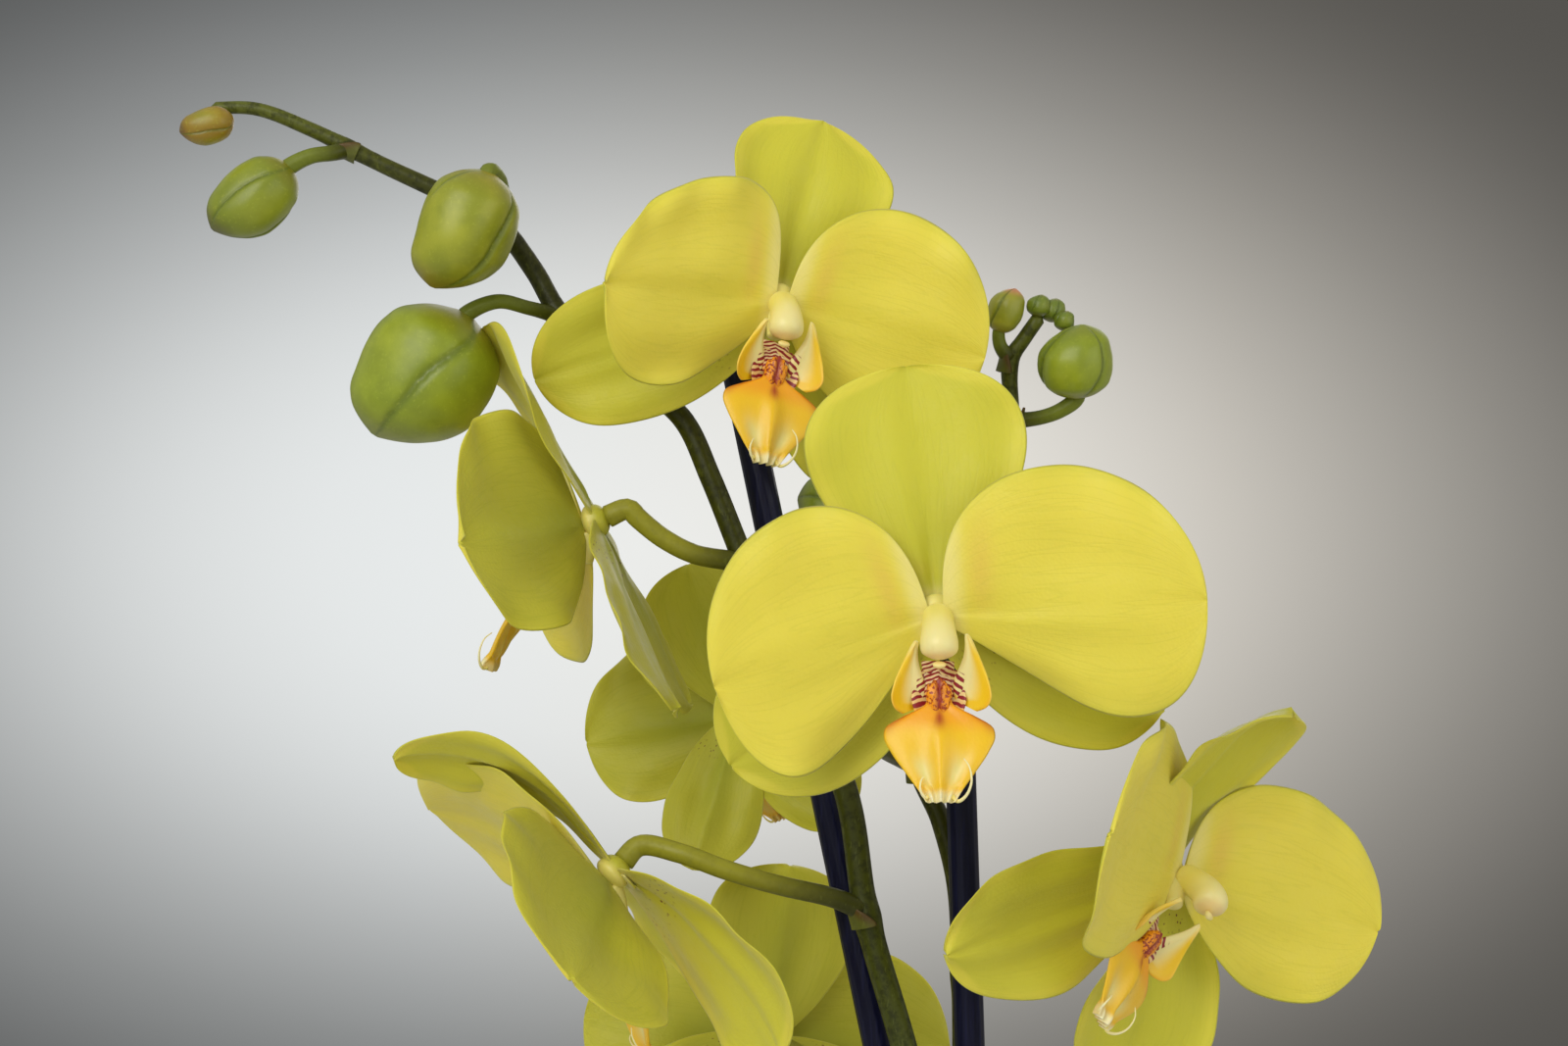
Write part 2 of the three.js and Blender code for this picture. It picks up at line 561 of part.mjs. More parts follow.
// Roots, crown and stakes first, since the bark is cut to fit around them. The roots spread with
// the bark's surface.
const routes = { ...roots, root_4: hangingRoot.map(([x, y, z]) => [x, y, z + headspace]) };
const rootLines = Object.fromEntries(Object.entries(routes).map(([name, line]) => (
  [name, line.map(([x, y, z]) => [x * rootSpread, y * rootSpread, z])])));
const crownClearance = toSolid(crownGeometry(seatGap));
const rootSolids = {};
const rootClearances = [];
for (const [name, line] of Object.entries(rootLines)) {
  rootSolids[name] = toSolid(stemAlong(line, [rootRadius, rootRadius, rootRadius * 0.7], 6, 7))
    .subtract(crownClearance);
  rootClearances.push(stemAlong(line, [rootRadius + seatGap * 1.3, rootRadius + seatGap * 1.3], 6, 7));
}

function barkGeometry() {
  const radius = (z) => potInnerRadius(z) - seatGap;
  const foot = potFloor + seatGap;
  const profile = [[0, foot], [radius(foot) - 2 * potEdgeRound, foot],
    [radius(foot + 2 * potEdgeRound), foot + 2 * potEdgeRound], [radius(barkTop), barkTop], [0, barkTop]]
    .map(([r, z]) => new THREE.Vector2(r, z));
  const whole = toSolid(new THREE.LatheGeometry(profile, potSides).rotateX(Math.PI / 2)
    .translate(0, 0, -barkTop));
  const room = [crownClearance, ...rootClearances.map(toSolid),
    ...Object.values(stakes).map((stake) => toSolid(stakeGeometry(stake, seatGap)))];
  return toGeometry(room.reduce((bark, cut) => bark.subtract(cut), whole));
}

addPiece(plant, 'bark', barkGeometry(), paint.bark);
addPiece(plant, 'crown', crownGeometry(0), paint.crown);
for (const [name, solid] of Object.entries(rootSolids)) {
  addPiece(plant, name, toGeometry(solid), paint.root);
}
for (const [name, stake] of Object.entries(stakes)) {
  addPiece(plant, `stake_${name}`, stakeGeometry(stake, 0), paint.stake);
}
for (const [name, leaf] of Object.entries(leaves)) {
  const heel = (leafThickness / 2) * Math.sin(-leaf.blade.tilt); // how far the raised base leans in
  const geometry = bladeSolid({ ...leafShape, ...leaf.blade }, leafThickness, 8, 4)
    .translate(crownRadiusAcross + seatGap + heel, 0, leaf.base + leafThickness)
    .rotateZ(rad(leaf.at)).translate(crownCentre[0], crownCentre[1], 0);
  addPiece(plant, name, geometry, paint.leaf);
}

// Buds before spikes, since a stalk is cut seatGap clear of the bud it carries.
const budSolids = {};
for (const [name, bud] of Object.entries(buds)) {
  budSolids[name] = toSolid(budGeometry(bud));
  addPiece(plant, name, toGeometry(budSolids[name]), paint.bud);
}

function budClearance(bud) {
  const base = new THREE.Vector3(...bud.base);
  const axis = new THREE.Vector3(...bud.tip).sub(base).normalize();
  const grown = { ...bud, radius: bud.radius + seatGap,
    base: base.clone().addScaledVector(axis, -seatGap).toArray() };
  return toSolid(budGeometry(grown));
}

for (const [name, spike] of Object.entries(spikes)) {
  const parts = [stemAlong(spike.line, spike.radii, stemSides, stemStep)];
  for (const [flower, stalk] of Object.entries(flowerStalks)) {
    if (stalk.spike === name) parts.push(...flowerHeart(flower));
  }
  const ownBuds = Object.values(buds).filter((bud) => bud.spike === name);
  for (const bud of ownBuds) parts.push(...budStalk(bud));
  if (name === 'two') {
    for (const [x, y, z, radius] of tipCluster) {
      parts.push(new THREE.SphereGeometry(radius, 7, 5).translate(x, y, z));
    }
  }
  let solid = join(parts).subtract(crownClearance);
  for (const bud of ownBuds) solid = solid.subtract(budClearance(bud));
  addPiece(plant, `spike_${name}`, toGeometry(solid), paint.stem);
}

for (const [name, flower] of Object.entries(flowers)) {
  const matrix = flowerMatrix(flower);
  for (const tepal of ['dorsal_sepal', 'petal_left', 'petal_right']) {
    const finish = tepal === 'dorsal_sepal' ? paint.sepal : paint.petal;
    const geometry = tepalGeometry(flower, tepal, tepalRows, tepalColumns).applyMatrix4(matrix);
    addPiece(plant, `flower_${name}_${tepal}`, geometry, finish);
  }
  const laterals = join([tepalGeometry(flower, 'lateral_left', tepalRows, tepalColumns),
    tepalGeometry(flower, 'lateral_right', tepalRows, tepalColumns), lateralStrap()]);
  addPiece(plant, `flower_${name}_lateral_sepals`,
    toGeometry(laterals).applyMatrix4(matrix), paint.sepal);
  const lip = toGeometry(lipGeometry()).scale(flower.size, flower.size, flower.size);
  addPiece(plant, `flower_${name}_lip`, lip.applyMatrix4(matrix), paint.lip);
}

// A clip: one ring round the stake and one round the spike, grown together where they meet.
function clipGeometry(clip) {
  const stake = stakes[clip.stake];
  const low = new THREE.Vector3(...stake.low);
  const lean = new THREE.Vector3(...stake.high).sub(low);
  lean.divideScalar(lean.z);
  const onStake = low.clone().addScaledVector(lean, clip.height);
  const spike = spikes[clip.spike];
  const curve = new THREE.CatmullRomCurve3(spike.line.map((p) => new THREE.Vector3(...p)), false,
    'centripetal');
  const samples = curve.getSpacedPoints(400);
  const onSpike = samples.reduce((best, p) => (
    Math.abs(p.z - clip.height) < Math.abs(best.z - clip.height) ? p : best));
  const turn = new THREE.Quaternion().setFromUnitVectors(
    new THREE.Vector3(0, 1, 0), lean.clone().normalize());
  const ring = (centre, radius, height) => toSolid(
    new THREE.CylinderGeometry(radius, radius, height, 14).applyQuaternion(turn)
      .translate(...centre.toArray()));
  const spikeRadius = radiusNear(spike, clip.height);
  const apart = onSpike.clone().sub(onStake);
  const bridge = new THREE.BoxGeometry(apart.length(), clipHeight * 0.8, 2 * clipWall)
    .rotateY(Math.atan2(-apart.y, apart.x)).rotateX(Math.PI / 2);
  bridge.translate(...onStake.clone().lerp(onSpike, 0.5).toArray());
  const shell = ring(onStake, stakeRadius + seatGap + clipWall, clipHeight)
    .add(ring(onSpike, spikeRadius + seatGap + clipWall, clipHeight))
    .add(toSolid(bridge));
  return toGeometry(shell.subtract(ring(onStake, stakeRadius + seatGap, clipHeight * 2))
    .subtract(ring(onSpike, spikeRadius + 2 * seatGap, clipHeight * 2)));
}

for (const [name, clip] of Object.entries(clips)) {
  addPiece(plant, name, clipGeometry(clip), paint.clip);
}

export default model;
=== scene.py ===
"""Potted moth orchid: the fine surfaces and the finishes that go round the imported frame.

Every piece is a surface worked out with numpy in millimetres and put into a mesh in metres.
Run as a script, it registers its operators and calls them in order."""
import math

import bpy
import numpy as np
from mathutils import Matrix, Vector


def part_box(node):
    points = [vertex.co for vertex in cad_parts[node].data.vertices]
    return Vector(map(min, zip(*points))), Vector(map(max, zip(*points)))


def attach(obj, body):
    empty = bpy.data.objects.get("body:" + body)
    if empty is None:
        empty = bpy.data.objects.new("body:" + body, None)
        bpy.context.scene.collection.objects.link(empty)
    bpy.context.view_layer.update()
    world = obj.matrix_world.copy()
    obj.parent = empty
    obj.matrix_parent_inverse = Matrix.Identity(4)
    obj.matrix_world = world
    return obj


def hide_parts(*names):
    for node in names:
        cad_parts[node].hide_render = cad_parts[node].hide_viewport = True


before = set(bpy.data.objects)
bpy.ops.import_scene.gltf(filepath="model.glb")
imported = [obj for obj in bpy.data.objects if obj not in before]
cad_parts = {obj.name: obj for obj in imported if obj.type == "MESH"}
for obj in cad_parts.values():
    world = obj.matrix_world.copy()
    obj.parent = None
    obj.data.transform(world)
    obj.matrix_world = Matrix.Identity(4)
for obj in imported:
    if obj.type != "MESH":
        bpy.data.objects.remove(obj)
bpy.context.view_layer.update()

bl_info = {
    "name": "Potted moth orchid",
    "version": (1, 0, 0),
    "blender": (4, 5, 0),
    "location": "3D View > Sidebar > Orchid",
    "description": "Builds a potted moth orchid with two staked flower spikes",
    "category": "Add Mesh",
}

MM = 0.001


def linear(red, green, blue):
    """The linear colour of three display values from 0 to 255."""
    share = np.array([red, green, blue]) / 255
    return tuple(float(c) for c in np.where(share <= 0.04045, share / 12.92, ((share + 0.055) / 1.055) ** 2.4))


# ---------------------------------------------------------------- places taken from the frame, mm
def frame_box(node):
    """Lowest and highest corner of a CAD node, in millimetres."""
    return [np.array(corner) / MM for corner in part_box(node)]


BARK_TOP = frame_box("bark")[1][2]
POT_TOP_RADIUS = frame_box("pot")[1][0]
POT_HEIGHT = frame_box("pot")[1][2]
CROWN_LOW, CROWN_HIGH = frame_box("crown")
CROWN_CENTRE = (CROWN_LOW + CROWN_HIGH)[:2] / 2
CROWN_RADII = (CROWN_HIGH - CROWN_LOW)[:2] / 2
LIFT = np.array([0, 0, BARK_TOP])  # the plant's own heights start at the bark's surface

# ---------------------------------------------------------------- the plant, mm above the bark
KNOB_RADIUS = 3.1
TEPAL_START = 1.2
KNOB_BACK = 3.8

IDEAL_TEPALS = {
    "dorsal_sepal": dict(at=90, length=43.2, width=40, rise=(1, 1), round=0.5, claw=0.16, tilt=0.16,
                         reflex=0.1, cup=0.5, layer=-1.3),
    "lateral_left": dict(at=218, length=45.2, width=30, rise=(0.8, 0.8), round=0.5, claw=0.2, tilt=0.22,
                         reflex=0.15, cup=0.5, layer=-1.3, flip=True),
    "lateral_right": dict(at=-38, length=45.2, width=30, rise=(0.8, 0.8), round=0.5, claw=0.2, tilt=0.22,
                          reflex=0.15, cup=0.5, layer=-1.3),
    "petal_left": dict(at=178, length=45.2, width=46, rise=(0.45, 0.8), round=0.5, claw=0.1, skew=0.1,
                       tilt=-0.1, reflex=-0.05, cup=-0.3, layer=1.7, flip=True),
    "petal_right": dict(at=2, length=45.2, width=46, rise=(0.45, 0.8), round=0.5, claw=0.1, skew=0.1,
                        tilt=-0.1, reflex=-0.05, cup=-0.3, layer=1.7),
}

FLOWERS = {
    "a": dict(at=(-38, -62, 362), yaw=0, pitch=6, roll=0, size=1, tepals=dict(
        dorsal_sepal=dict(at=97, width=43, rise=(1.15, 1.15)),
        petal_right=dict(at=4, length=46.2, width=47, rise=(0.42, 1.3)),
        petal_left=dict(at=197, length=40.2, width=47, rise=(0.42, 1.3)),
        lateral_left=dict(at=219, length=48.2, width=33),
        lateral_right=dict(at=-25, length=47.2, width=29))),
    "b": dict(at=(-66, -16, 420), yaw=14, pitch=8, roll=12, size=0.97, tepals=dict(
        dorsal_sepal=dict(at=83, length=38.2, width=36, tilt=0.35),
        petal_right=dict(at=-2, length=40.2, width=44, tilt=-0.2),
        petal_left=dict(at=186, length=38.2, width=43, tilt=-0.3, rise=(0.24, 0.9)),
        lateral_left=dict(at=213, length=49.2, width=31),
        lateral_right=dict(at=-43))),
    "c": dict(at=(-102, -8, 378), yaw=-98, pitch=20, roll=0, size=0.97, lip_turn=24, tepals=dict(
        dorsal_sepal=dict(at=86, tilt=-0.2, twist=0.5, width=34),
        petal_right=dict(at=3, length=43.2, tilt=-0.32),
        petal_left=dict(at=191, tilt=-0.5),
        lateral_left=dict(at=240, tilt=-0.05),
        lateral_right=dict(at=-62, tilt=0.05))),
    "d": dict(at=(-98, -12, 311), yaw=-70, pitch=43, roll=0, size=1, tepals=dict(
        dorsal_sepal=dict(at=93, tilt=0.1, length=50, width=21, twist=0.7, reflex=-1.2, late=1.6),
        petal_right=dict(at=4, tilt=-0.5, width=50),
        petal_left=dict(at=146, length=45, width=49, tilt=-0.2),
        lateral_left=dict(at=236, tilt=0.25, reflex=-0.5),
        lateral_right=dict(at=-56, tilt=0.2, reflex=-0.6, length=48.2, width=38, twist=-0.6))),
    "e": dict(at=(-74, 34, 339), yaw=170, pitch=6, roll=18, size=0.72, tepals=dict(
        petal_right=dict(at=8),
        lateral_right=dict(at=-60),
        lateral_left=dict(at=236))),
    "f": dict(at=(7, -30, 313), yaw=55, pitch=8, roll=44, size=0.97, lip_turn=-28, tepals=dict(
        dorsal_sepal=dict(at=127, length=41, width=36, tilt=0, reflex=-1.1),
        petal_right=dict(at=30, width=42, tilt=-0.55),
        petal_left=dict(at=208, tilt=-0.15, width=48),
        lateral_left=dict(at=246, length=48.2, width=32, tilt=0.4),
        lateral_right=dict(at=-34, tilt=0.1, twist=0.9, width=34))),
    "g": dict(at=(-68, 38, 272), yaw=185, pitch=8, roll=-6, size=0.82, tepals={}),
}

# Lobes of the lip: where each starts in the flower, which way it runs and which way it faces.
MIDDLE_OUTLINE = [(0, 0.3), (0.22, 0.27), (0.34, 0.29), (0.41, 0.66), (0.47, 0.94), (0.53, 1), (0.66, 0.87),
                  (0.79, 0.64), (0.9, 0.43), (1, 0.26)]
SIDE_OUTLINE = [(0, 0.55), (0.12, 0.86), (0.3, 1), (0.5, 0.76), (0.7, 0.46), (0.86, 0.27), (0.95, 0.18), (1, 0.1)]
THROAT_OUTLINE = [(0, 0.66), (0.3, 0.86), (0.65, 1), (1, 0.8)]
LIP_LOBES = {
    "middle": dict(start=(0, -8, 5), along=(0, -0.8, 0.6), face=(0, 0.6, 0.8), length=26.5, width=19.5,
                   outline=MIDDLE_OUTLINE, cup=-0.35, tilt=-0.15, reflex=0.5),
    "side_left": dict(start=(-4.3, -15.6, 9.4), along=(-0.24, 1, 0), face=(0.45, 0, 0.9), length=11.8,
                      width=8, outline=SIDE_OUTLINE, cup=1, skew=0.3, bow=-0.22, reflex=-0.3),
    "side_right": dict(start=(-4.4, -14.8, 9.4), along=(-0.38, 1, 0.05), face=(0.42, 0, 0.91), length=12,
                       width=8.4, outline=SIDE_OUTLINE, cup=1, skew=0.3, bow=-0.3, reflex=-0.3),
    "throat": dict(start=(0, -9.4, 6.4), along=(0, -0.92, 0.4), face=(0, 0.4, 0.92), length=8.6, width=10.5,
                   outline=THROAT_OUTLINE, cup=1.5),
}
CALLUS = dict(at=(0, -14.9, 10.4), radii=(2.7, 4.8, 1.8))
COLUMN_LINE = [(0, 0, 1.5), (0, -1, 5.5), (0, -2.8, 9), (0, -5.2, 11), (0, -6.6, 11.5)]
FOOT_LINE = [(0, -1.2, 1.4), (0, -4, 2.4), (0, -7.2, 4)]
FOOT_RADII = [2.1, 2, 1.6]

STAKES = {
    "one": dict(low=(11.2, -19, 0), high=(-73.4, 7, 404), top=413),
    "two": dict(low=(-20.3, -6, 0), high=(-30.3, 6, 324), top=335),
}
STAKE_RADIUS = 3
STAKE_FOOT = 15  # above the pot's underside

SPIKES = {
    "one": dict(
        line=[(4, 6, 8), (8, -2, 15), (13, -10, 27), (13.5, -18, 45), (8, -21, 70), (-6.5, -17.5, 116),
              (-23.3, -13.4, 196), (-36, -10.5, 253), (-42, -8.5, 277.6), (-49.2, -7.5, 303),
              (-53, -7, 326), (-62, -7, 346.7), (-72, -6, 369), (-79, -5, 386.4), (-84.5, -4, 398),
              (-93.3, -4, 405.5), (-107.6, -3, 417.4), (-113.3, -2, 426.8), (-119.6, -2, 435),
              (-127.5, -2, 440), (-143, -2, 447.4), (-157, -2, 454.3), (-167, -2, 458), (-176, -2, 458.2)],
        radii=[3, 3, 2.9, 2.8, 2.6, 2.4, 2.1, 1.9, 1.2],
        bare_nodes=[(70, 1), (140, -1), (214, 1)]),
    "two": dict(
        line=[(-2, 16, 8), (-5, 23, 16), (-11, 27, 30), (-19, 25, 52), (-24, 19, 88), (-26, 14, 140),
              (-28, 11, 206), (-29.5, 11.5, 256), (-30, 12.5, 290.5), (-31, 12.5, 307), (-34, 12, 319),
              (-38, 12, 330), (-34, 11, 346), (-28.4, 10, 363), (-24.6, 9, 380.6), (-20.6, 8, 398),
              (-20.5, 8, 410), (-18, 8, 414), (-14.5, 8, 419)],
        radii=[2.8, 2.7, 2.6, 2.4, 2.2, 2, 1.9, 1.4],
        bare_nodes=[(88, -1), (150, 1)]),
}
FLOWER_STALKS = {
    "a": dict(spike="two", line=[(-38, 12, 330), (-42, 6, 332), (-47, -6, 336), (-46, -26, 345),
                                 (-41, -42, 354)]),
    "b": dict(spike="one", line=[(-93.3, -4, 405.5), (-90, 4, 411), (-82, 9, 418), (-73, 3, 420.5)]),
    "c": dict(spike="one", line=[(-72, -6, 369), (-75, -8, 370.6), (-82, -9, 372), (-88, -9, 375),
                                 (-93, -9, 379)]),
    "d": dict(spike="one", line=[(-50, -8, 304), (-55.6, -10, 306.4), (-66, -12, 309), (-76, -13, 312),
                                 (-85, -12.5, 315.2)]),
    "e": dict(spike="one", line=[(-62, -7, 346.7), (-68, -5, 345.5), (-72, 5, 342.5), (-74, 20, 339.5)]),
    "f": dict(spike="two", line=[(-30, 12.5, 290.5), (-22, 12, 293), (-12, 6, 300), (-2, -8, 309)]),
    "g": dict(spike="two", line=[(-29.5, 11.5, 256), (-36, 18, 258), (-48, 27, 264), (-60, 31, 269.5)]),
}
STALK_RADIUS = 1.6
BUDS = {
    "bud_1": dict(spike="one", stalk=[], base=(-171, -4.9, 456), tip=(-181, -5.5, 452.5), radius=3.4),
    "bud_2": dict(spike="one", stalk=[(-149.5, -2, 450.3), (-152, -4, 449.3), (-156, -5, 448.6)],
                  base=(-160, -5, 446.7), tip=(-174, -6, 433.4), radius=6.5),
    "bud_3": dict(spike="one", stalk=[(-120.5, -2.5, 436), (-119, -8, 441), (-119.6, -13, 444)],
                  base=(-121, -16, 444.5), tip=(-130, -15, 422), radius=9.2),
    "bud_4": dict(spike="one", stalk=[(-108, -3, 417.8), (-114, -6, 419.3), (-120, -7, 420.5)],
                  base=(-126, -7, 418), tip=(-141.5, -7, 393.5), radius=12.5),
    "bud_5": dict(spike="two", stalk=[(-20.5, 8, 398), (-15, 6, 398.6), (-11, 4.6, 400)],
                  base=(-8, 4, 402.4), tip=(-8.6, 0, 416.4), radius=7),
    "bud_6": dict(spike="two", stalk=[(-20.5, 8, 410), (-22.6, 7, 412.6)],
                  base=(-23, 6.6, 415.2), tip=(-20.4, 5.6, 424), radius=3.4),
    "bud_7": dict(spike="two", stalk=[(-24.6, 9, 380.6), (-32, 12, 380), (-41, 13, 379.3)],
                  base=(-47, 13, 379.2), tip=(-62.5, 14, 381.5), radius=7),
}
BUD_STALK_RADIUS = 1.3
TIP_CLUSTER = [(-15.5, 7, 420.6, 2.2), (-12.6, 9, 419.8, 2.4), (-10.4, 7, 417.6, 2)]

LEAVES = {
    "leaf_1": dict(at=0, base=27, length=150, width=58, tilt=-0.9, reflex=1.15),
    "leaf_2": dict(at=176, base=23, length=175, width=64, tilt=-0.75, reflex=1.2),
    "leaf_3": dict(at=-3, base=18, length=200, width=72, tilt=-0.58, reflex=1.05),
    "leaf_4": dict(at=174, base=14, length=205, width=72, tilt=-0.46, reflex=0.9),
    "leaf_5": dict(at=-2, base=9, length=190, width=70, tilt=-0.36, reflex=0.75),
}
LEAF_SHAPE = dict(rise=(0.8, 0.8), round=0.42, claw=0.24, cup=0.6, cup_tip=-0.3)
LEAF_THICKNESS = 2.2
ROOTS = {
    "root_1": [(-6, 9, 1), (-20, 14, 8), (-34, 12, 9), (-45, 6, 3), (-48, 2, -9)],
    "root_2": [(8, 10, 1), (22, 2, 8), (35, -7, 9), (43, -12, 3), (45, -14, -9)],
    "root_3": [(-2, 18, 1), (0, 32, 9), (5, 43, 9), (9, 49, 2), (10, 50, -9)],
    "root_4": [(6, 17, 0), (18, 31, 12.2), (34, 38, 13.5), (43, 47, 12.6), (48.5, 53, 6),
               (50, 55, -6), (48.5, 54, -22), (49, 55, -34)],
}
CLIPS = {
    "clip_1": dict(stake="one", spike="one", height=226),
    "clip_2": dict(stake="two", spike="two", height=206),
}
CLIP_HEIGHT = 9
CLIP_WALL = 1.3
SEAT_GAP = 0.3


# The glow behind the plant: its place, x and z for each y, how flat it lies, and its brightness at
# angles from its middle, in radians.
GLOW = (-0.0407, -0.0072)
GLOW_SQUEEZE = 1 / 1.75
GLOW_STOPS = [(0, 0.86), (0.05, 0.81), (0.08, 0.69), (0.11, 0.45), (0.14, 0.27), (0.175, 0.115), (0.21, 0.08), (0.3, 0.12),
              (0.6, 0.36), (1, 0.5)]


# ---------------------------------------------------------------- arithmetic on whole arrays
def unit(vectors):
    return vectors / np.linalg.norm(vectors, axis=-1, keepdims=True)


def mix(a, b, share):
    """a where share is 0 and b where it is 1; a and b are colours or points."""
    share = np.asarray(share, float)[..., None]
    return np.asarray(a, float) * (1 - share) + np.asarray(b, float) * share


def ease(x, low, high):
    """0 below low, 1 above high, and the cubic 3t^2 - 2t^3 between."""
    t = np.clip((x - low) / (high - low), 0, 1)
    return t * t * (3 - 2 * t)


def hump(x, centre, width):
    """A bell curve of height 1."""
    return np.exp(-(((x - centre) / width) ** 2))


def ripple(a, b, seed, low=1.5, high=6.0, waves=7):
    """Smooth unevenness from about -1 to 1: a sum of sine waves over a and b whose directions,
    counts per unit and phases are drawn from the seed."""
    draw = np.random.default_rng(seed)
    turns, counts, phases = draw.uniform(0, 2 * np.pi, waves), draw.uniform(low, high, waves), \
        draw.uniform(0, 2 * np.pi, waves)
    total = sum(np.sin(count * (a * np.cos(turn) + b * np.sin(turn)) + phase)
                for turn, count, phase in zip(turns, counts, phases))
    return total / math.sqrt(waves)


def knotted(x, knots):
    """A smooth curve through (place, value) knots: cubic pieces whose slopes are the mean slopes of
    their neighbours."""
    places, values = np.array(knots, float).T
    slopes = np.gradient(values, places)
    i = np.clip(np.searchsorted(places, x, side="right") - 1, 0, len(places) - 2)
    span = places[i + 1] - places[i]
    t = (x - places[i]) / span
    return ((1 + 2 * t) * (1 - t) ** 2 * values[i] + t * (1 - t) ** 2 * span * slopes[i]
            + t * t * (3 - 2 * t) * values[i + 1] + t * t * (t - 1) * span * slopes[i + 1])


def through(points, step):
    """Points every step along the centripetal Catmull-Rom curve through the given ones."""
    p = np.array(points, float)
    p = np.vstack([2 * p[0] - p[1], p, 2 * p[-1] - p[-2]])
    d = np.sqrt(np.linalg.norm(np.diff(p, axis=0), axis=1))[:, None]
    before, own, after = d[:-2], d[1:-1], d[2:]
    p0, p1, p2, p3 = p[:-3], p[1:-2], p[2:-1], p[3:]
    leave = ((p1 - p0) / before - (p2 - p0) / (before + own) + (p2 - p1) / own) * own
    arrive = ((p2 - p1) / own - (p3 - p1) / (own + after) + (p3 - p2) / after) * own
    t = np.linspace(0, 1, 40, endpoint=False)[None, :, None]
    p1, p2, leave, arrive = (x[:, None, :] for x in (p1, p2, leave, arrive))
    curve = (p1 + leave * t + (-3 * p1 + 3 * p2 - 2 * leave - arrive) * t ** 2
             + (2 * p1 - 2 * p2 + leave + arrive) * t ** 3).reshape(-1, 3)
    curve = np.vstack([curve, p[-2]])
    run = np.concatenate([[0], np.cumsum(np.linalg.norm(np.diff(curve, axis=0), axis=1))])
    even = np.linspace(0, run[-1], max(4, int(round(run[-1] / step)) + 1))
    return np.stack([np.interp(even, run, curve[:, k]) for k in range(3)], axis=1)


def lengths_along(path):
    return np.concatenate([[0], np.cumsum(np.linalg.norm(np.diff(path, axis=0), axis=1))])


# ---------------------------------------------------------------- shells
# A shell is a closed surface: points, four-sided and three-sided faces, and what is painted on
# its points.
def outward(shell):
    """The shell with its faces pointing out: they are turned round if the volume that they
    enclose, a sixth of the sum of their corners' triple products, is negative."""
    p, quads, tris = shell["points"], shell["quads"], shell["tris"]
    corners = np.vstack([tris, quads[:, [0, 1, 2]], quads[:, [0, 2, 3]]])
    a, b, c = p[corners[:, 0]], p[corners[:, 1]], p[corners[:, 2]]
    if np.einsum("ij,ij->", a, np.cross(b, c)) < 0:
        shell["quads"], shell["tris"] = quads[:, ::-1], tris[:, ::-1]
    return shell


def ring_quads(rings, sides):
    """Quads between neighbouring rings, each ring closed on itself."""
    r = np.arange(rings - 1)[:, None] * sides
    i = np.arange(sides)[None, :]
    j = (i + 1) % sides
    return np.stack([r + i, r + j, r + sides + j, r + sides + i], axis=-1).reshape(-1, 4)


def round_shell(rings, **paint):
    """A shell of rings, closed at both ends with a fan round the last ring's mean."""
    count, sides = rings.shape[:2]
    points = np.vstack([rings.reshape(-1, 3), rings[0].mean(0), rings[-1].mean(0)])
    i = np.arange(sides)
    j = (i + 1) % sides
    last = (count - 1) * sides
    pole = np.full(sides, count * sides)
    tris = np.vstack([np.stack([pole, j, i], 1), np.stack([pole + 1, last + i, last + j], 1)])
    shell = dict(points=points, quads=ring_quads(count, sides), tris=tris)
    for key, value in paint.items():
        value = np.broadcast_to(value, (count, sides) + np.shape(value)[2:])
        flat = value.reshape((count * sides,) + value.shape[2:])
        shell[key] = np.concatenate([flat, value[0].mean(0)[None], value[-1].mean(0)[None]])
    return outward(shell)


def flat_shell(rings, **paint):
    """A shell of flattened rings, each a front run and a back run that meet at its two edges,
    closed at both ends with a strip from the front run to the back run."""
    count, sides = rings.shape[:2]
    half = sides // 2
    j = np.arange(1, half - 1)
    strip = np.stack([j, j + 1, sides - j - 1, sides - j], 1)
    ends = np.array([[0, 1, sides - 1], [half - 1, half, half + 1]])
    last = (count - 1) * sides
    shell = dict(points=rings.reshape(-1, 3),
                 quads=np.vstack([ring_quads(count, sides), strip[:, ::-1], strip + last]),
                 tris=np.vstack([ends[:, ::-1], ends + last]))
    for key, value in paint.items():
        value = np.broadcast_to(value, (count, sides) + np.shape(value)[2:])
        shell[key] = value.reshape((count * sides,) + value.shape[2:])
    return outward(shell)


def moved(shell, matrix, origin, size=1.0):
    """The shell scaled, turned by a matrix whose columns are its new axes, and carried to origin."""
    shell = dict(shell)
    shell["points"] = (shell["points"] * size) @ np.asarray(matrix, float).T + np.asarray(origin, float)
    return outward(shell)


def together(shells):
    """Several shells as one mesh. What a shell isn't painted with is 0 there."""
    whole = dict(points=np.vstack([s["points"] for s in shells]))
    starts = np.cumsum([0] + [len(s["points"]) for s in shells])
    for kind in ("quads", "tris"):
        whole[kind] = np.vstack([s[kind].reshape(-1, 4 if kind == "quads" else 3) + start
                                 for s, start in zip(shells, starts)])
    for key in sorted({k for s in shells for k in s} - {"points", "quads", "tris"}):
        like = next(s[key] for s in shells if key in s)
        whole[key] = np.concatenate([np.asarray(s.get(key, np.zeros((len(s["points"]),) + like.shape[1:])))
                                     for s in shells])
    return whole


